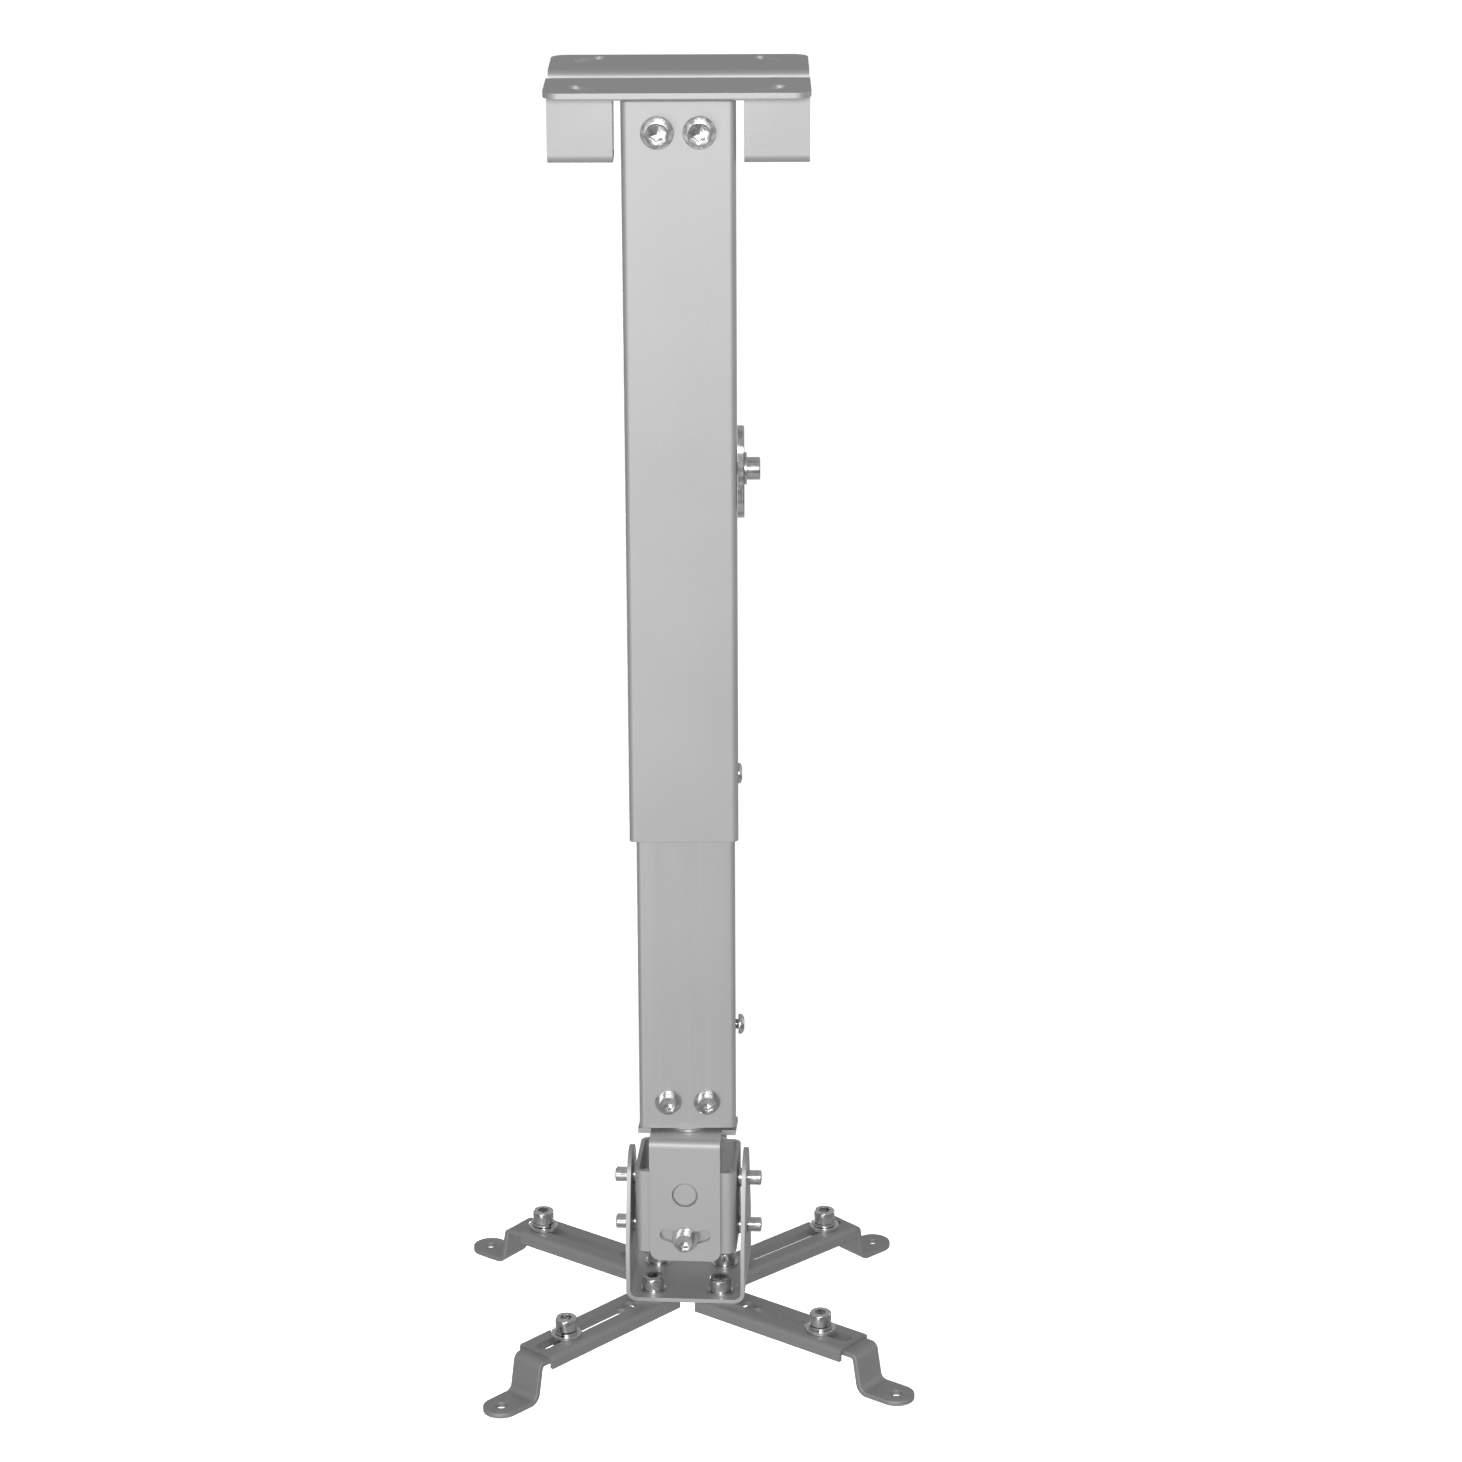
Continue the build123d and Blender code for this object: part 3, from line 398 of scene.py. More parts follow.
def finish_named(name):
    """A finish of the mount, made when it is first asked for."""
    if name in bpy.data.materials:
        return bpy.data.materials[name]
    finish = settings("finish")
    if name == "Silver coat":
        return powder_coat(name, finish.paint, finish.paint_roughness)
    if name == "Silver coat, rubbed":
        return powder_coat(name, finish.paint, finish.paint_roughness, 0.35)
    # The arm coat is the silver coat made darker, as painted shade on the arms and legs.
    if name == "Arm coat":
        return powder_coat(name, finish.arm_paint, finish.paint_roughness + 0.03)
    return plated(name, finish.zinc, finish.zinc_roughness)


def body_of(node):
    """The body that carries a CAD node."""
    return frame["nodes"][node]["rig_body"]


def merged(node):
    """A bmesh of a CAD node with its loose triangles joined up."""
    work = bmesh.new()
    work.from_mesh(frame["nodes"][node].data)
    bmesh.ops.remove_doubles(work, verts=work.verts, dist=SAME_POINT)
    return work


def islands(node):
    """The corner points of each separate solid of a CAD node."""
    work = merged(node)
    left = set(work.verts)
    found = []
    while left:
        start = left.pop()
        queue, group = [start], [start.co.copy()]
        while queue:
            for link in queue.pop().link_edges:
                for other in link.verts:
                    if other in left:
                        left.discard(other)
                        queue.append(other)
                        group.append(other.co.copy())
        found.append(group)
    work.free()
    return found


class Seat:
    """Where one solid of a CAD node stands: its axis, lower end, length and radius.
    With both_ways, the axis of a solid on the far side of the middle is turned round,
    so that it points away from the middle on either side."""

    def __init__(self, points, axis, both_ways):
        side = axis.orthogonal().normalized()
        other = axis.cross(side)
        spans = []
        for line in (axis, side, other):
            reach = [point.dot(line) for point in points]
            spans.append((min(reach), max(reach)))
        middle = [(low + high) / 2 for low, high in spans]
        centre = axis * middle[0] + side * middle[1] + other * middle[2]
        turned = both_ways and middle[0] < 0
        self.axis = -axis if turned else axis
        self.length = spans[0][1] - spans[0][0]
        self.centre = centre
        self.base = centre - self.axis * self.length / 2
        self.top = centre + self.axis * self.length / 2
        self.radius = (spans[1][1] - spans[1][0]) / 2


def seats(node, axis, both_ways=False):
    """The seats of all solids of a node, from the lowest to the highest."""
    found = [Seat(points, axis, both_ways) for points in islands(node)]
    return sorted(found, key=lambda seat: (round(seat.centre.z, 5), seat.centre.x, seat.centre.y))


def hexagon(across):
    """The radius of a hexagon at an angle, from its width across the flats."""
    def radius(angle):
        turn = (angle + math.pi / 6) % (math.pi / 3) - math.pi / 6
        return across / 2 / math.cos(turn)
    return radius


def stack(rings, sides, closed=False):
    """A solid from rings of (height, radius), where a radius may depend on the angle.
    A closed stack joins its last ring to its first, and an open one ends in a flat face."""
    work = bmesh.new()
    rows = []
    for height, radius in rings:
        row = []
        for i in range(sides):
            angle = 2 * math.pi * i / sides
            reach = radius(angle) if callable(radius) else radius
            row.append(work.verts.new((reach * math.cos(angle), reach * math.sin(angle), height)))
        rows.append(row)
    pairs = list(zip(rows, rows[1:]))
    if closed:
        pairs.append((rows[-1], rows[0]))
    for low, high in pairs:
        for i in range(sides):
            j = (i + 1) % sides
            work.faces.new((low[i], low[j], high[j], high[i]))
    if not closed:
        work.faces.new(list(reversed(rows[0])))
        work.faces.new(rows[-1])
    bmesh.ops.recalc_face_normals(work, faces=work.faces)
    return work


def template(name, parts, threaded=None):
    """An object from several solids. The last one may carry the thread."""
    mesh = bpy.data.meshes.new(name)
    whole = bmesh.new()
    flag = []
    for part in parts:
        piece = bpy.data.meshes.new("part")
        part.to_mesh(piece)
        flag += [part is threaded] * len(part.verts)
        whole.from_mesh(piece)
        bpy.data.meshes.remove(piece)
    for part in parts:
        part.free()
    for face in whole.faces:
        face.smooth = True
    whole.to_mesh(mesh)
    whole.free()
    mesh.set_sharp_from_angle(angle=SHARP_ANGLE)
    mark = mesh.attributes.new("thread", "BOOLEAN", "POINT")
    mark.data.foreach_set("value", flag)
    return linked(name, mesh)


def shank(radius, length, pitch):
    """A round bar below z = 0 with rings close enough for a thread, and a chamfered end."""
    step = pitch / RINGS_PER_THREAD
    chamfer, sunk = radius * 0.22, 0.4 * MM
    rings = [(-length, radius * 0.78), (-length + chamfer, radius)]
    count = int((length - chamfer) / step)
    rings += [(-length + chamfer + step * i, radius) for i in range(1, count)]
    rings.append((sunk, radius))
    return stack(rings, SHANK_SIDES)


def cap_screw(name, seat, head_height, socket, thread, pitch, grip=1.0):
    """A socket cap screw whose head stands on z = 0."""
    hardware = settings("hardware")
    radius, chamfer, knurl = seat.radius, hardware.chamfer, hardware.knurl * grip

    def grooved(angle):
        return radius - knurl * (0.5 - 0.5 * math.cos(angle * HEAD_GROOVES))

    bore = hexagon(socket)
    mouth = socket / 2 * SOCKET_MOUTH
    low = head_height * 0.5
    head = stack([
        (0, radius - chamfer * 0.5), (chamfer * 0.5, grooved), (head_height * 0.5, grooved),
        (head_height - chamfer * 1.2, grooved), (head_height - chamfer, radius - knurl),
        (head_height, radius - chamfer - knurl), (head_height, mouth),
        (head_height - 0.1 * MM, bore), (low, bore), (low - socket * 0.12, socket * 0.1),
    ], HEAD_SIDES)
    bar = shank(thread / 2, seat.length - head_height, pitch)
    return template(name, [head, bar], bar)


def button_screw(name, seat, head_height, socket, thread, pitch):
    """A low screw with a domed head."""
    radius = seat.radius
    bore = hexagon(socket)
    first, last, steps = math.radians(10), math.radians(72), 8
    dome = []
    for i in range(steps + 1):
        turn = first + (last - first) * i / steps
        rise = 0.15 + 0.85 * math.sin(turn) / math.sin(last)
        dome.append((head_height * rise, radius * math.cos(turn - first)))
    head = stack(
        [(0, radius * 0.97), (head_height * 0.1, radius)] + dome
        + [(head_height, socket / 2 * SOCKET_MOUTH), (head_height - 0.1 * MM, bore),
           (head_height * 0.4, bore), (head_height * 0.3, socket * 0.1)], 48,
    )
    bar = shank(thread / 2, seat.length - head_height, pitch)
    return template(name, [head, bar], bar)


def smooth_screw(name, seat, head_height, socket, thread, pitch):
    """A socket cap screw with a plain round head."""
    return cap_screw(name, seat, head_height, socket, thread, pitch, 0)


def hex_head(name, seat, head_height, across, thread, pitch):
    """A hexagon bolt whose head stands on z = 0."""
    flats = hexagon(across)
    washer_face = across / 2 * 0.95
    step = 0.25 * MM
    rings = [(0, washer_face), (step, washer_face), (step, flats), (head_height * 0.7, flats)]
    for i in range(5):
        rise = head_height * (0.7 + 0.3 * i / 4)
        limit = across / 2 * 0.93 + (head_height - rise) * CORNER_SLOPE
        rings.append((rise, lambda angle, limit=limit: min(flats(angle), limit)))
    head = stack(rings, 60)
    bar = shank(thread / 2, seat.length - head_height, pitch)
    return template(name, [head, bar], bar)


def hex_nut(name, across, height, thread, pitch):
    """A nut on z = 0 with both faces chamfered and a plain bore the size of its thread."""
    flats = hexagon(across)
    bore = thread / 2
    rings = []
    for i in range(4):
        rise = height * 0.18 * i / 3
        limit = across / 2 * 0.94 + rise * CORNER_SLOPE
        rings.append((rise, lambda angle, limit=limit: min(flats(angle), limit)))
    rings += [(height - z, r) for z, r in reversed(rings)]
    mouth, depth = bore * 1.12, bore * 0.12
    rings += [(height, mouth), (height - depth, bore), (depth, bore), (0, mouth)]
    return template(name, [stack(rings, 60, closed=True)])


def flat_ring(name, inside, outside, thickness, chamfer):
    """A washer or spacer on z = 0 with softened rims."""
    return template(name, [stack([
        (0, inside), (0, outside - chamfer), (chamfer * 0.7, outside),
        (thickness - chamfer * 0.7, outside), (thickness, outside - chamfer), (thickness, inside),
    ], 64, closed=True)])


def spring_ring(name, inside, outside, thickness):
    """A split spring washer: one turn of square wire whose ends nearly meet."""
    work = bmesh.new()
    wire = thickness * 0.8
    first, sweep, steps = 4, 350, 56
    rows = []
    for i in range(steps + 1):
        angle = math.radians(first + sweep * i / steps)
        rise = (thickness - wire) * i / steps
        rows.append([
            work.verts.new((r * math.cos(angle), r * math.sin(angle), rise + z))
            for r, z in ((inside, 0), (outside, 0), (outside, wire), (inside, wire))
        ])
    for low, high in zip(rows, rows[1:]):
        for i in range(4):
            j = (i + 1) % 4
            work.faces.new((low[i], low[j], high[j], high[i]))
    work.faces.new(rows[0])
    work.faces.new(rows[-1])
    bmesh.ops.recalc_face_normals(work, faces=work.faces)
    return template(name, [work])


def pattern_tree():
    """The node tree that cuts the thread and sets a template on every point of a carrier."""
    if "Hardware pattern" in bpy.data.node_groups:
        return bpy.data.node_groups["Hardware pattern"]
    tree = bpy.data.node_groups.new("Hardware pattern", "GeometryNodeTree")
    sockets = tree.interface
    sockets.new_socket("Geometry", in_out="INPUT", socket_type="NodeSocketGeometry")
    sockets.new_socket("Template", in_out="INPUT", socket_type="NodeSocketObject")
    for name, default in (("Thread pitch", MM), ("Thread depth", 0.5 * MM)):
        socket = sockets.new_socket(name, in_out="INPUT", socket_type="NodeSocketFloat")
        socket.default_value = default
        socket.subtype = "DISTANCE"
    sockets.new_socket("Seed", in_out="INPUT", socket_type="NodeSocketInt")
    sockets.new_socket("Finish", in_out="INPUT", socket_type="NodeSocketMaterial")
    sockets.new_socket("Geometry", in_out="OUTPUT", socket_type="NodeSocketGeometry")
    graph = Graph(tree)
    graph.node("NodeGroupInput")
    entry = {socket.name: Value(graph, socket) for socket in graph.last.outputs if socket.name}

    shape = graph.node("GeometryNodeObjectInfo", {}, {"Object": entry["Template"]}, "Geometry")
    place = graph.node("GeometryNodeInputPosition")
    x = graph.node("ShaderNodeSeparateXYZ", {}, {0: place}, 0)
    y, z = (Value(graph, graph.last.outputs[i]) for i in (1, 2))
    turn = y.math("ARCTAN2", x) / (2 * math.pi)
    wave = (z / entry["Thread pitch"] - turn).math("FRACT")
    groove = 1 - (wave * 2 - 1).math("ABSOLUTE")
    radius = (x * x + y * y).math("SQRT").math("MAXIMUM", 1e-6)
    share = (radius - entry["Thread depth"] * groove) / radius
    moved = graph.node("ShaderNodeCombineXYZ", {}, {0: x * share, 1: y * share, 2: z})
    threaded = graph.node(
        "GeometryNodeInputNamedAttribute", {"data_type": "BOOLEAN"}, {"Name": "thread"},
    )
    shape = graph.node("GeometryNodeSetPosition", {}, {
        "Geometry": shape, "Selection": threaded, "Position": moved,
    })

    axis = graph.node(
        "GeometryNodeInputNamedAttribute", {"data_type": "FLOAT_VECTOR"}, {"Name": "axis"},
    )
    aim = graph.node("FunctionNodeAlignRotationToVector", {"axis": "Z"}, {"Vector": axis})
    graph.node("FunctionNodeRandomValue", {"data_type": "FLOAT"})
    chance = graph.last
    chance.inputs[2].default_value = 0
    chance.inputs[3].default_value = 2 * math.pi
    tree.links.new(entry["Seed"].socket, chance.inputs["Seed"])
    angle = Value(graph, chance.outputs[1])
    spin = graph.node("FunctionNodeAxisAngleToRotation", {}, {"Axis": (0, 0, 1), "Angle": angle})
    aim = graph.node("FunctionNodeRotateRotation", {"rotation_space": "LOCAL"}, {0: aim, 1: spin})
    pieces = graph.node("GeometryNodeInstanceOnPoints", {}, {
        "Points": entry["Geometry"], "Instance": shape, "Rotation": aim,
    })
    pieces = graph.node("GeometryNodeRealizeInstances", {}, {"Geometry": pieces})
    pieces = graph.node("GeometryNodeSetMaterial", {}, {
        "Geometry": pieces, "Material": entry["Finish"],
    })
    graph.node("NodeGroupOutput", {}, {"Geometry": pieces})
    return tree


def set_inputs(modifier, values):
    """Sets a Geometry Nodes modifier's inputs by their sockets' identifiers."""
    for item in modifier.node_group.interface.items_tree:
        if item.item_type == "SOCKET" and item.in_out == "INPUT" and item.name in values:
            modifier[item.identifier] = values[item.name]


def place_hardware(name, shape, spots, pitch=None):
    """One mesh with the template at every spot of (point, axis); the template is used up."""
    hardware = settings("hardware")
    mesh = bpy.data.meshes.new(name + "_points")
    mesh.from_pydata([tuple(point) for point, axis in spots], [], [])
    carrier = linked(name + "_points", mesh)
    aim = mesh.attributes.new("axis", "FLOAT_VECTOR", "POINT")
    aim.data.foreach_set("vector", [part for point, axis in spots for part in axis])
    modifier = carrier.modifiers.new("Hardware pattern", "NODES")
    modifier.node_group = pattern_tree()
    step = pitch or MM
    set_inputs(modifier, {
        "Template": shape, "Thread pitch": step,
        "Thread depth": hardware.thread_depth * step if pitch else 0.0,
        "Seed": hardware.seed + sum(name.encode()), "Finish": finish_named("Zinc plate"),
    })
    bpy.context.view_layer.update()
    evaluated = carrier.evaluated_get(bpy.context.evaluated_depsgraph_get())
    result = bpy.data.meshes.new_from_object(evaluated)
    bpy.data.objects.remove(carrier)
    bpy.data.objects.remove(shape)
    return linked(name, result)


def stand_for(made, node):
    """The piece takes a CAD node's place and body, and the node is hidden."""
    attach(made, body_of(node))
    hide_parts(node)


def dress_screws(node, axis, both_ways, kind, head_height, socket, thread, pitch):
    """Finished screws in place of a CAD node."""
    spots = seats(node, axis, both_ways)
    shape = kind(node + "_shape", spots[0], head_height, socket, thread, pitch)
    where = [(seat.top - seat.axis * head_height, seat.axis) for seat in spots]
    stand_for(place_hardware(node + "_fine", shape, where, pitch), node)


def dress_nuts(node, axis, both_ways, across, height, thread, pitch):
    """Finished nuts in place of a CAD node."""
    spots = seats(node, axis, both_ways)
    shape = hex_nut(node + "_shape", across, height, thread, pitch)
    stand_for(place_hardware(node + "_fine", shape, [(s.base, s.axis) for s in spots]), node)


def dress_rings(node, axis, both_ways, inside, chamfer):
    """Finished washers or spacers in place of a CAD node."""
    spots = seats(node, axis, both_ways)
    shape = flat_ring(node + "_shape", inside, spots[0].radius, spots[0].length, chamfer)
    stand_for(place_hardware(node + "_fine", shape, [(s.base, s.axis) for s in spots]), node)


def dress_sheet(node, finish_name):
    """A merged, smoothly shaded copy of a sheet-metal node, in the node's place."""
    work = merged(node)
    bmesh.ops.dissolve_limit(
        work, angle_limit=FLAT_ANGLE, verts=work.verts, edges=work.edges,
        use_dissolve_boundaries=False, delimit={"NORMAL"},
    )
    for face in work.faces:
        face.smooth = True
    mesh = bpy.data.meshes.new(node + "_skin")
    work.to_mesh(mesh)
    work.free()
    mesh.set_sharp_from_angle(angle=SHARP_ANGLE)
    mesh.materials.append(finish_named(finish_name))
    stand_for(linked(node + "_skin", mesh), node)


def arc(centre, radius, start, end, steps):
    """Points on an arc between two angles in degrees."""
    turns = [math.radians(start + (end - start) * i / steps) for i in range(steps + 1)]
    x, y = centre
    return [(x + radius * math.cos(turn), y + radius * math.sin(turn)) for turn in turns]


def flat_plate(name, loops, thickness, edge):
    """A bmesh of a flat plate about z = 0 with softened edges. Inner loops are openings."""
    curve = bpy.data.curves.new(name, "CURVE")
    curve.dimensions = "2D"
    curve.fill_mode = "BOTH"
    curve.extrude = thickness / 2 - edge
    curve.bevel_depth = edge
    curve.bevel_resolution = 1
    curve.offset = -edge
    for loop in loops:
        line = curve.splines.new("POLY")
        line.points.add(len(loop) - 1)
        for point, (x, y) in zip(line.points, loop):
            point.co = (x, y, 0, 1)
        line.use_cyclic_u = True
    holder = linked(name, curve)
    bpy.context.view_layer.update()
    depsgraph = bpy.context.evaluated_depsgraph_get()
    mesh = bpy.data.meshes.new_from_object(holder.evaluated_get(depsgraph))
    bpy.data.objects.remove(holder)
    work = bmesh.new()
    work.from_mesh(mesh)
    bmesh.ops.remove_doubles(work, verts=work.verts, dist=SAME_POINT)
    bpy.data.meshes.remove(mesh)
    return work


class Bend:
    """The line along which a leg's flat bar is bent: level, down a steep slope, level again."""

    def __init__(self):
        legs = settings("legs")
        self.slope, self.above, self.below = legs.slope, legs.upper_bend, legs.lower_bend
        turned = (self.above + self.below) * (1 - math.cos(self.slope))
        self.slant = (legs.drop - turned) / math.sin(self.slope)
        self.first = self.above * self.slope
        self.second = self.first + self.slant
        self.foot = self.second + self.below * self.slope

    def stations(self):
        """Where the bar needs a row of corners to bend smoothly."""
        bends = ((0, self.first, 8), (self.second, self.foot, 10))
        return [
            low + (high - low) * i / steps
            for low, high, steps in bends for i in range(steps + 1)
        ]

    def at(self, along):
        """The place (out, down) on the line and its slope after a length of bar."""
        if along <= 0:
            return along, 0, 0
        turn = min(along / self.above, self.slope)
        out, down = self.above * math.sin(turn), self.above * (1 - math.cos(turn))
        if along <= self.first:
            return out, down, turn
        run = min(along - self.first, self.slant)
        out, down = out + run * math.cos(self.slope), down + run * math.sin(self.slope)
        if along <= self.second:
            return out, down, self.slope
        back = min((along - self.second) / self.below, self.slope)
        left = self.slope - back
        out += self.below * (math.sin(self.slope) - math.sin(left))
        down += self.below * (math.cos(left) - math.cos(self.slope))
        return out + max(0, along - self.foot), down, left

    def length_to(self, out):
        """How much bar reaches a place on the level foot."""
        return self.foot + out - self.at(self.foot)[0]


def bent_leg(name):
    """A leg cut as a flat slotted bar, then bent into its Z."""
    node = name + "_leg"
    legs = settings("legs")
    clamp = seats(name + "_screw", UP)[0].centre.copy()
    pivots = [seat.centre for seat in seats("arm_pivot_screws", UP)]
    pivot = min(pivots, key=lambda point: (point - clamp).length)
    ahead = Vector((clamp.x - pivot.x, clamp.y - pivot.y, 0)).normalized()
    aside = UP.cross(ahead)
    start = LEG_GRIP[name.split("_")[0]] - LEG_SETBACK
    bend = Bend()
    corner = LEG_SETBACK - LEG_TAIL + LEG_CORNER
    side = LEG_HALF_WIDTH - LEG_CORNER
    hole = bend.length_to(FOOT_HOLE_REACH + LEG_SETBACK)
    near, far = LEG_SETBACK - LEG_SLOT_NEAR, LEG_SETBACK - LEG_SLOT_FAR
    loops = [
        arc((corner, -side), LEG_CORNER, 180, 270, 6)
        + arc((hole, 0), LEG_HALF_WIDTH, -90, 90, 28)
        + arc((corner, side), LEG_CORNER, 90, 180, 6),
        arc((hole, 0), FOOT_HOLE_RADIUS, 0, 345, 23),
        arc((near, -LEG_SIDE_SHIFT), LEG_SLOT_RADIUS, -90, 90, 14)
        + arc((far, -LEG_SIDE_SHIFT), LEG_SLOT_RADIUS, 90, 270, 14),
    ]
    work = flat_plate(node, loops, legs.sheet, settings("finish").edge)
    for station in bend.stations():
        bmesh.ops.bisect_plane(
            work, geom=[*work.verts, *work.edges, *work.faces],
            plane_co=(station, 0, 0), plane_no=(1, 0, 0), dist=SAME_PLANE,
        )
    top = max(vert.co.z for vert in frame["nodes"][node].data.vertices)
    middle = Vector((clamp.x, clamp.y, top - legs.sheet / 2)) + aside * LEG_SIDE_SHIFT
    for vert in work.verts:
        out, down, slope = bend.at(vert.co.x)
        out += start + vert.co.z * math.sin(slope)
        down -= vert.co.z * math.cos(slope)
        vert.co = middle + ahead * out + aside * vert.co.y - UP * down
    bmesh.ops.recalc_face_normals(work, faces=work.faces)
    for face in work.faces:
        face.smooth = True
    mesh = bpy.data.meshes.new(node + "_bent")
    work.to_mesh(mesh)
    work.free()
    mesh.set_sharp_from_angle(angle=LEG_SHARP_ANGLE)
    mesh.materials.clear()
    mesh.materials.append(finish_named("Arm coat"))
    stand_for(linked(node + "_bent", mesh), node)


class MountOperator:
    """What the operators share."""

    bl_options = {"REGISTER", "UNDO"}


class MOUNT_OT_bracket(MountOperator, bpy.types.Operator):
    """Give the ceiling bracket its coat"""

    bl_idname = "ceiling_mount.bracket"
    bl_label = "Ceiling bracket"

    def execute(self, context):
        dress_sheet("ceiling_bracket", "Silver coat")
        return {"FINISHED"}


class MOUNT_OT_tubes(MountOperator, bpy.types.Operator):
    """Give the two tubes and the neck bracket their coats"""

    bl_idname = "ceiling_mount.tubes"
    bl_label = "Tubes"

    def execute(self, context):
        dress_sheet("outer_tube", "Silver coat")
        dress_sheet("inner_tube", "Silver coat, rubbed")
        dress_sheet("neck_bracket", "Silver coat")
        return {"FINISHED"}


class MOUNT_OT_head(MountOperator, bpy.types.Operator):
    """Give the yoke, the tilt block and the cradle their coats"""

    bl_idname = "ceiling_mount.head"
    bl_label = "Swivel and tilt head"

    def execute(self, context):
        for node in ("yoke", "tilt_block", "cradle"):
            dress_sheet(node, "Silver coat")
        return {"FINISHED"}


class MOUNT_OT_arms(MountOperator, bpy.types.Operator):
    """Give the four arms and their legs their coats"""

    bl_idname = "ceiling_mount.arms"
    bl_label = "Arms and legs"

    def execute(self, context):
        for name in ARMS:
            # The arms and legs take the darker coat, which paints the shade on their level tops.
            dress_sheet(name + "_arm", "Arm coat")
            bent_leg(name)
        return {"FINISHED"}


class MOUNT_OT_screws(MountOperator, bpy.types.Operator):
    """Set every screw and bolt"""

    bl_idname = "ceiling_mount.screws"
    bl_label = "Screws"

    def execute(self, context):
        # Maker, height of the head, width of the socket, thread and pitch.
        m6 = (cap_screw, 6 * MM, 5 * MM, 6 * MM, 1.0 * MM)
        m5 = (cap_screw, 5 * MM, 4 * MM, 5 * MM, 0.8 * MM)
        m4 = (smooth_screw, 6.5 * MM, 3 * MM, 4 * MM, 0.7 * MM)
        dress_screws("top_bolts", DEEP, True, *m6)
        dress_screws("height_screw", ACROSS, False, *m6)
        dress_screws("arm_pivot_screws", UP, False, *m6)
        for name in ARMS:
            dress_screws(name + "_screw", UP, False, *m6)
        dress_screws("neck_screws", DEEP, True, *m5)
        dress_screws("roll_lock_screws", HEAD_DEEP, True, *m5)
        dress_screws("tilt_pivot_screws", HEAD_ACROSS, True, *m4)
        dress_screws("tilt_lock_screws", HEAD_ACROSS, True, *m4)
        dress_screws("guide_screw", ACROSS, False, button_screw, 1.8 * MM, 3 * MM, 5 * MM, 0.8 * MM)
        dress_screws("stop_screw", ACROSS, False, button_screw, 2.8 * MM, 3 * MM, 5 * MM, 0.8 * MM)
        dress_screws("swivel_bolt", UP * -1, False, hex_head, 5.3 * MM, 13 * MM, 8 * MM, 1.25 * MM)
        return {"FINISHED"}


class MOUNT_OT_nuts(MountOperator, bpy.types.Operator):
    """Set every nut"""

    bl_idname = "ceiling_mount.nuts"
    bl_label = "Nuts"

    def execute(self, context):
        # Width across the flats, height, thread and pitch.
        m6 = (10 * MM, 5 * MM, 6 * MM, 1.0 * MM)
        m5 = (8 * MM, 4 * MM, 5 * MM, 0.8 * MM)
        m4 = (7 * MM, 3.2 * MM, 4 * MM, 0.7 * MM)
        dress_nuts("top_nuts", DEEP, True, *m6)
        dress_nuts("height_nut", ACROSS, False, *m6)
        dress_nuts("arm_pivot_nuts", UP, False, *m6)
        for name in ARMS:
            dress_nuts(name + "_nut", UP, False, *m6)
        dress_nuts("stop_nut", ACROSS, False, *m5)
        dress_nuts("neck_nuts", DEEP, True, *m5)
        dress_nuts("roll_lock_nuts", HEAD_DEEP, True, *m5)
        dress_nuts("tilt_pivot_nuts", HEAD_ACROSS, True, *m4)
        dress_nuts("tilt_lock_nuts", HEAD_ACROSS, True, *m4)
        dress_nuts("swivel_nut", UP, False, 13 * MM, 4.5 * MM, 8.1 * MM, 1.25 * MM)
        return {"FINISHED"}


class MOUNT_OT_washers(MountOperator, bpy.types.Operator):
    """Set every washer, spacer, pin and the clamp plate"""

    bl_idname = "ceiling_mount.washers"
    bl_label = "Washers, spacers and pins"

    def execute(self, context):
        chamfer = settings("hardware").chamfer
        soft = chamfer * 0.5
        dress_rings("top_washers", DEEP, True, 3 * MM, soft)
        dress_rings("height_washer", ACROSS, False, 3 * MM, soft)
        dress_rings("neck_washers", DEEP, True, 2.5 * MM, soft)
        dress_rings("roll_lock_washers", HEAD_DEEP, True, 2.5 * MM, soft)
        dress_rings("arm_pivot_washers", UP, False, 3 * MM, soft)
        dress_rings("tilt_pivot_spacers", HEAD_ACROSS, True, 2 * MM, chamfer)
        dress_rings("tilt_lock_spacers", HEAD_ACROSS, True, 2 * MM, chamfer)
        dress_rings("swivel_spacer", UP, False, 4.1 * MM, chamfer)
        for name in ARMS:
            self.clamp_washers(name + "_washers", soft)
        for node in ("roll_pins", "height_plate"):
            frame["nodes"][node].data.materials.clear()
            frame["nodes"][node].data.materials.append(
                finish_named("Silver coat" if node == "roll_pins" else "Zinc plate")
            )
        return {"FINISHED"}

    def clamp_washers(self, node, soft):
        """The wide, spring and lower washers of one clamp screw, joined in one mesh."""
        low, pair = seats(node, UP)
        spring_radius = 5.4 * MM
        half = pair.length / 2
        makers = (
            (low.base, flat_ring(node + "_low", 3 * MM, low.radius, low.length, soft)),
            (pair.base, flat_ring(node + "_wide", 3 * MM, pair.radius, half, soft)),
            (pair.centre, spring_ring(node + "_spring", 3 * MM, spring_radius, half)),
        )
        whole = bmesh.new()
        for point, shape in makers:
            part = place_hardware(shape.name + "_part", shape, [(point, UP)])
            whole.from_mesh(part.data)
            bpy.data.objects.remove(part)
        mesh = bpy.data.meshes.new(node + "_fine")
        whole.to_mesh(mesh)
        whole.free()
        mesh.materials.append(finish_named("Zinc plate"))
        stand_for(linked(node + "_fine", mesh), node)


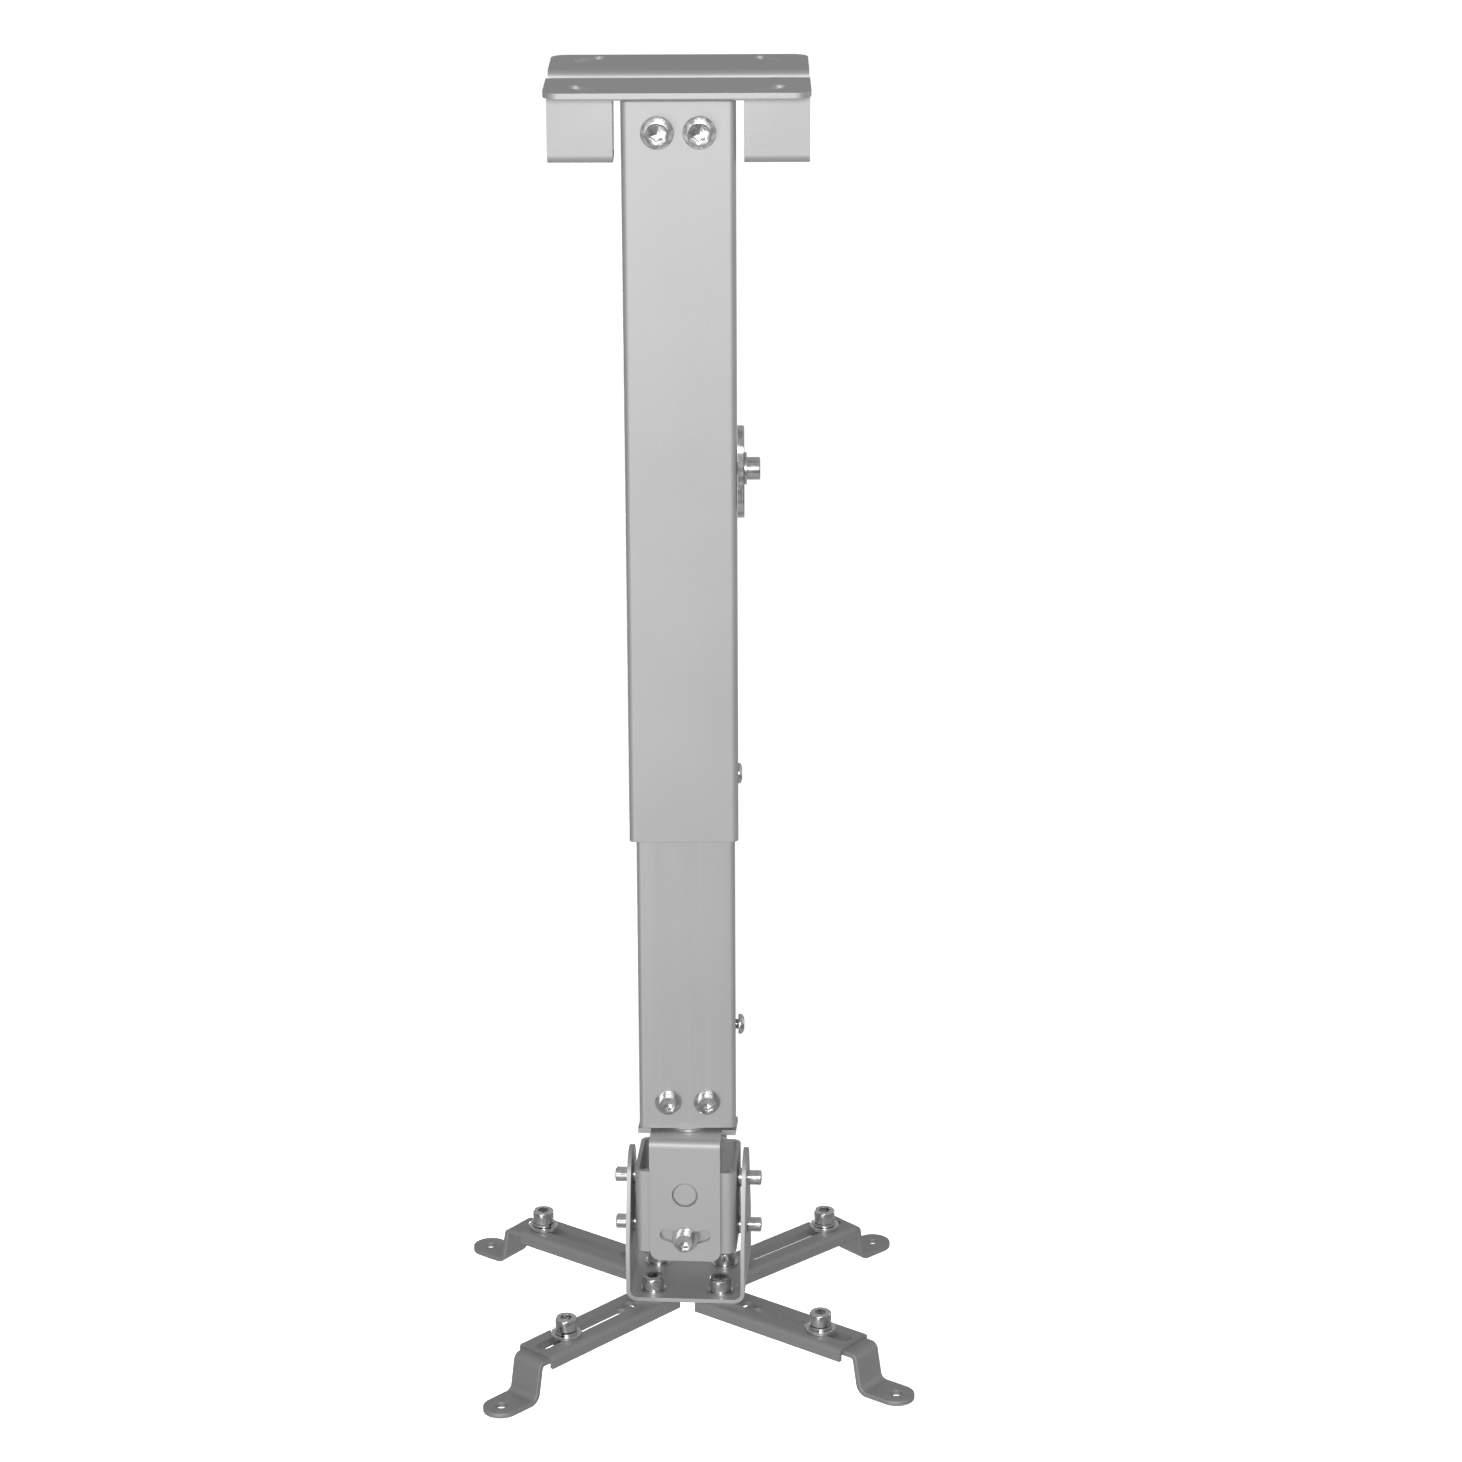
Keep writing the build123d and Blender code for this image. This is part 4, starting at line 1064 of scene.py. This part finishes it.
class MOUNT_OT_stage(MountOperator, bpy.types.Operator):
    """Set up the floor, the lights and the camera"""

    bl_idname = "ceiling_mount.stage"
    bl_label = "Stage"

    def execute(self, context):
        self.make_camera(context.scene)
        self.make_floor(context.scene)
        self.make_lights(context.scene)
        context.scene.view_settings.view_transform = "Standard"
        return {"FINISHED"}

    def make_camera(self, scene):
        stage = settings("stage")
        level = Vector((-math.sin(stage.yaw), math.cos(stage.yaw), 0))
        right = Vector((math.cos(stage.yaw), math.sin(stage.yaw), 0))
        ahead = level * math.cos(stage.pitch) - UP * math.sin(stage.pitch)
        above = level * math.sin(stage.pitch) + UP * math.cos(stage.pitch)
        side = right * math.cos(stage.roll) + above * math.sin(stage.roll)
        top = above * math.cos(stage.roll) - right * math.sin(stage.roll)
        data = bpy.data.cameras.new("Camera")
        data.sensor_width = 36
        data.lens = stage.lens
        data.clip_start = 0.05
        data.clip_end = 50
        camera = linked("Camera", data)
        turn = Matrix((side, top, -ahead)).transposed().to_4x4()
        camera.matrix_world = Matrix.Translation(stage.camera_place) @ turn
        scene.camera = camera

    def make_floor(self, scene):
        stage = settings("stage")
        mesh = bpy.data.meshes.new("Floor")
        size, drop = 12, -stage.floor_drop
        mesh.from_pydata(
            [(-size, -size, drop), (size, -size, drop), (size, size, drop), (-size, size, drop)],
            [], [(0, 1, 2, 3)],
        )
        floor = linked("Floor", mesh)
        material, graph = new_material("Floor")
        plain = graph.node("ShaderNodeBsdfDiffuse", {}, {"Color": (0.8, 0.8, 0.8, 1)})
        glow = graph.node("ShaderNodeEmission", {}, {"Color": (1, 1, 1, 1), "Strength": 0.9})
        seen = graph.node("ShaderNodeAddShader", {}, {0: plain, 1: glow})
        direct = graph.node("ShaderNodeLightPath", output="Is Camera Ray")
        both = graph.node("ShaderNodeMixShader", {}, {0: direct, 1: plain, 2: seen})
        graph.node("ShaderNodeOutputMaterial", {}, {"Surface": both})
        mesh.materials.append(material)

    def make_lights(self, scene):
        world = bpy.data.worlds.new("World")
        world.use_nodes = True
        world.node_tree.nodes.clear()
        graph = Graph(world.node_tree)
        seen = graph.node("ShaderNodeLightPath", output="Is Camera Ray")
        mirrored = Value(graph, graph.last.outputs["Is Glossy Ray"])
        strength = WORLD_LIGHT + seen * (1 - WORLD_LIGHT) + mirrored * WORLD_MIRRORED
        sky = graph.node("ShaderNodeBackground", {}, {"Color": (1, 1, 1, 1), "Strength": strength})
        graph.node("ShaderNodeOutputWorld", {}, {"Surface": sky})
        scene.world = world
        for light in LIGHTS:
            self.softbox(*light)

    def softbox(self, name, place, target, size, power):
        """A square softbox aimed at a point."""
        data = bpy.data.lights.new(name, "AREA")
        data.size = size
        data.energy = power
        light = linked(name, data)
        light.location = place
        aim = Vector(target) - Vector(place)
        light.rotation_euler = aim.to_track_quat("-Z", "Y").to_euler()


OPERATORS = (
    MOUNT_OT_bracket, MOUNT_OT_tubes, MOUNT_OT_head, MOUNT_OT_arms,
    MOUNT_OT_screws, MOUNT_OT_nuts, MOUNT_OT_washers, MOUNT_OT_stage,
)


class MOUNT_PT_panel(bpy.types.Panel):
    """Settings and steps of the ceiling mount."""

    bl_idname = "MOUNT_PT_panel"
    bl_label = "Ceiling Mount"
    bl_space_type = "VIEW_3D"
    bl_region_type = "UI"
    bl_category = "Ceiling Mount"

    def draw(self, context):
        for name in GROUPS:
            group = getattr(context.scene, name)
            box = self.layout.box()
            for item in group.bl_rna.properties.keys():
                if item not in ("rna_type", "name"):
                    box.prop(group, item)
        for operator in OPERATORS:
            self.layout.operator(operator.bl_idname)


GROUPS = {
    "mount_finish": MOUNT_PG_finish,
    "mount_hardware": MOUNT_PG_hardware,
    "mount_stage": MOUNT_PG_stage,
    "mount_legs": MOUNT_PG_legs,
}


def register():
    for name, group in GROUPS.items():
        bpy.utils.register_class(group)
        setattr(bpy.types.Scene, name, bpy.props.PointerProperty(type=group))
    for item in (*OPERATORS, MOUNT_PT_panel):
        bpy.utils.register_class(item)


def unregister():
    for item in reversed((*OPERATORS, MOUNT_PT_panel)):
        bpy.utils.unregister_class(item)
    for name, group in reversed(GROUPS.items()):
        delattr(bpy.types.Scene, name)
        bpy.utils.unregister_class(group)


def main():
    """Runs every step."""
    register()
    for operator in OPERATORS:
        step = operator.bl_idname.split(".")[1]
        if getattr(bpy.ops.ceiling_mount, step)() != {"FINISHED"}:
            raise RuntimeError(f"{operator.bl_label} wasn't finished")


if __name__ == "__main__":
    main()
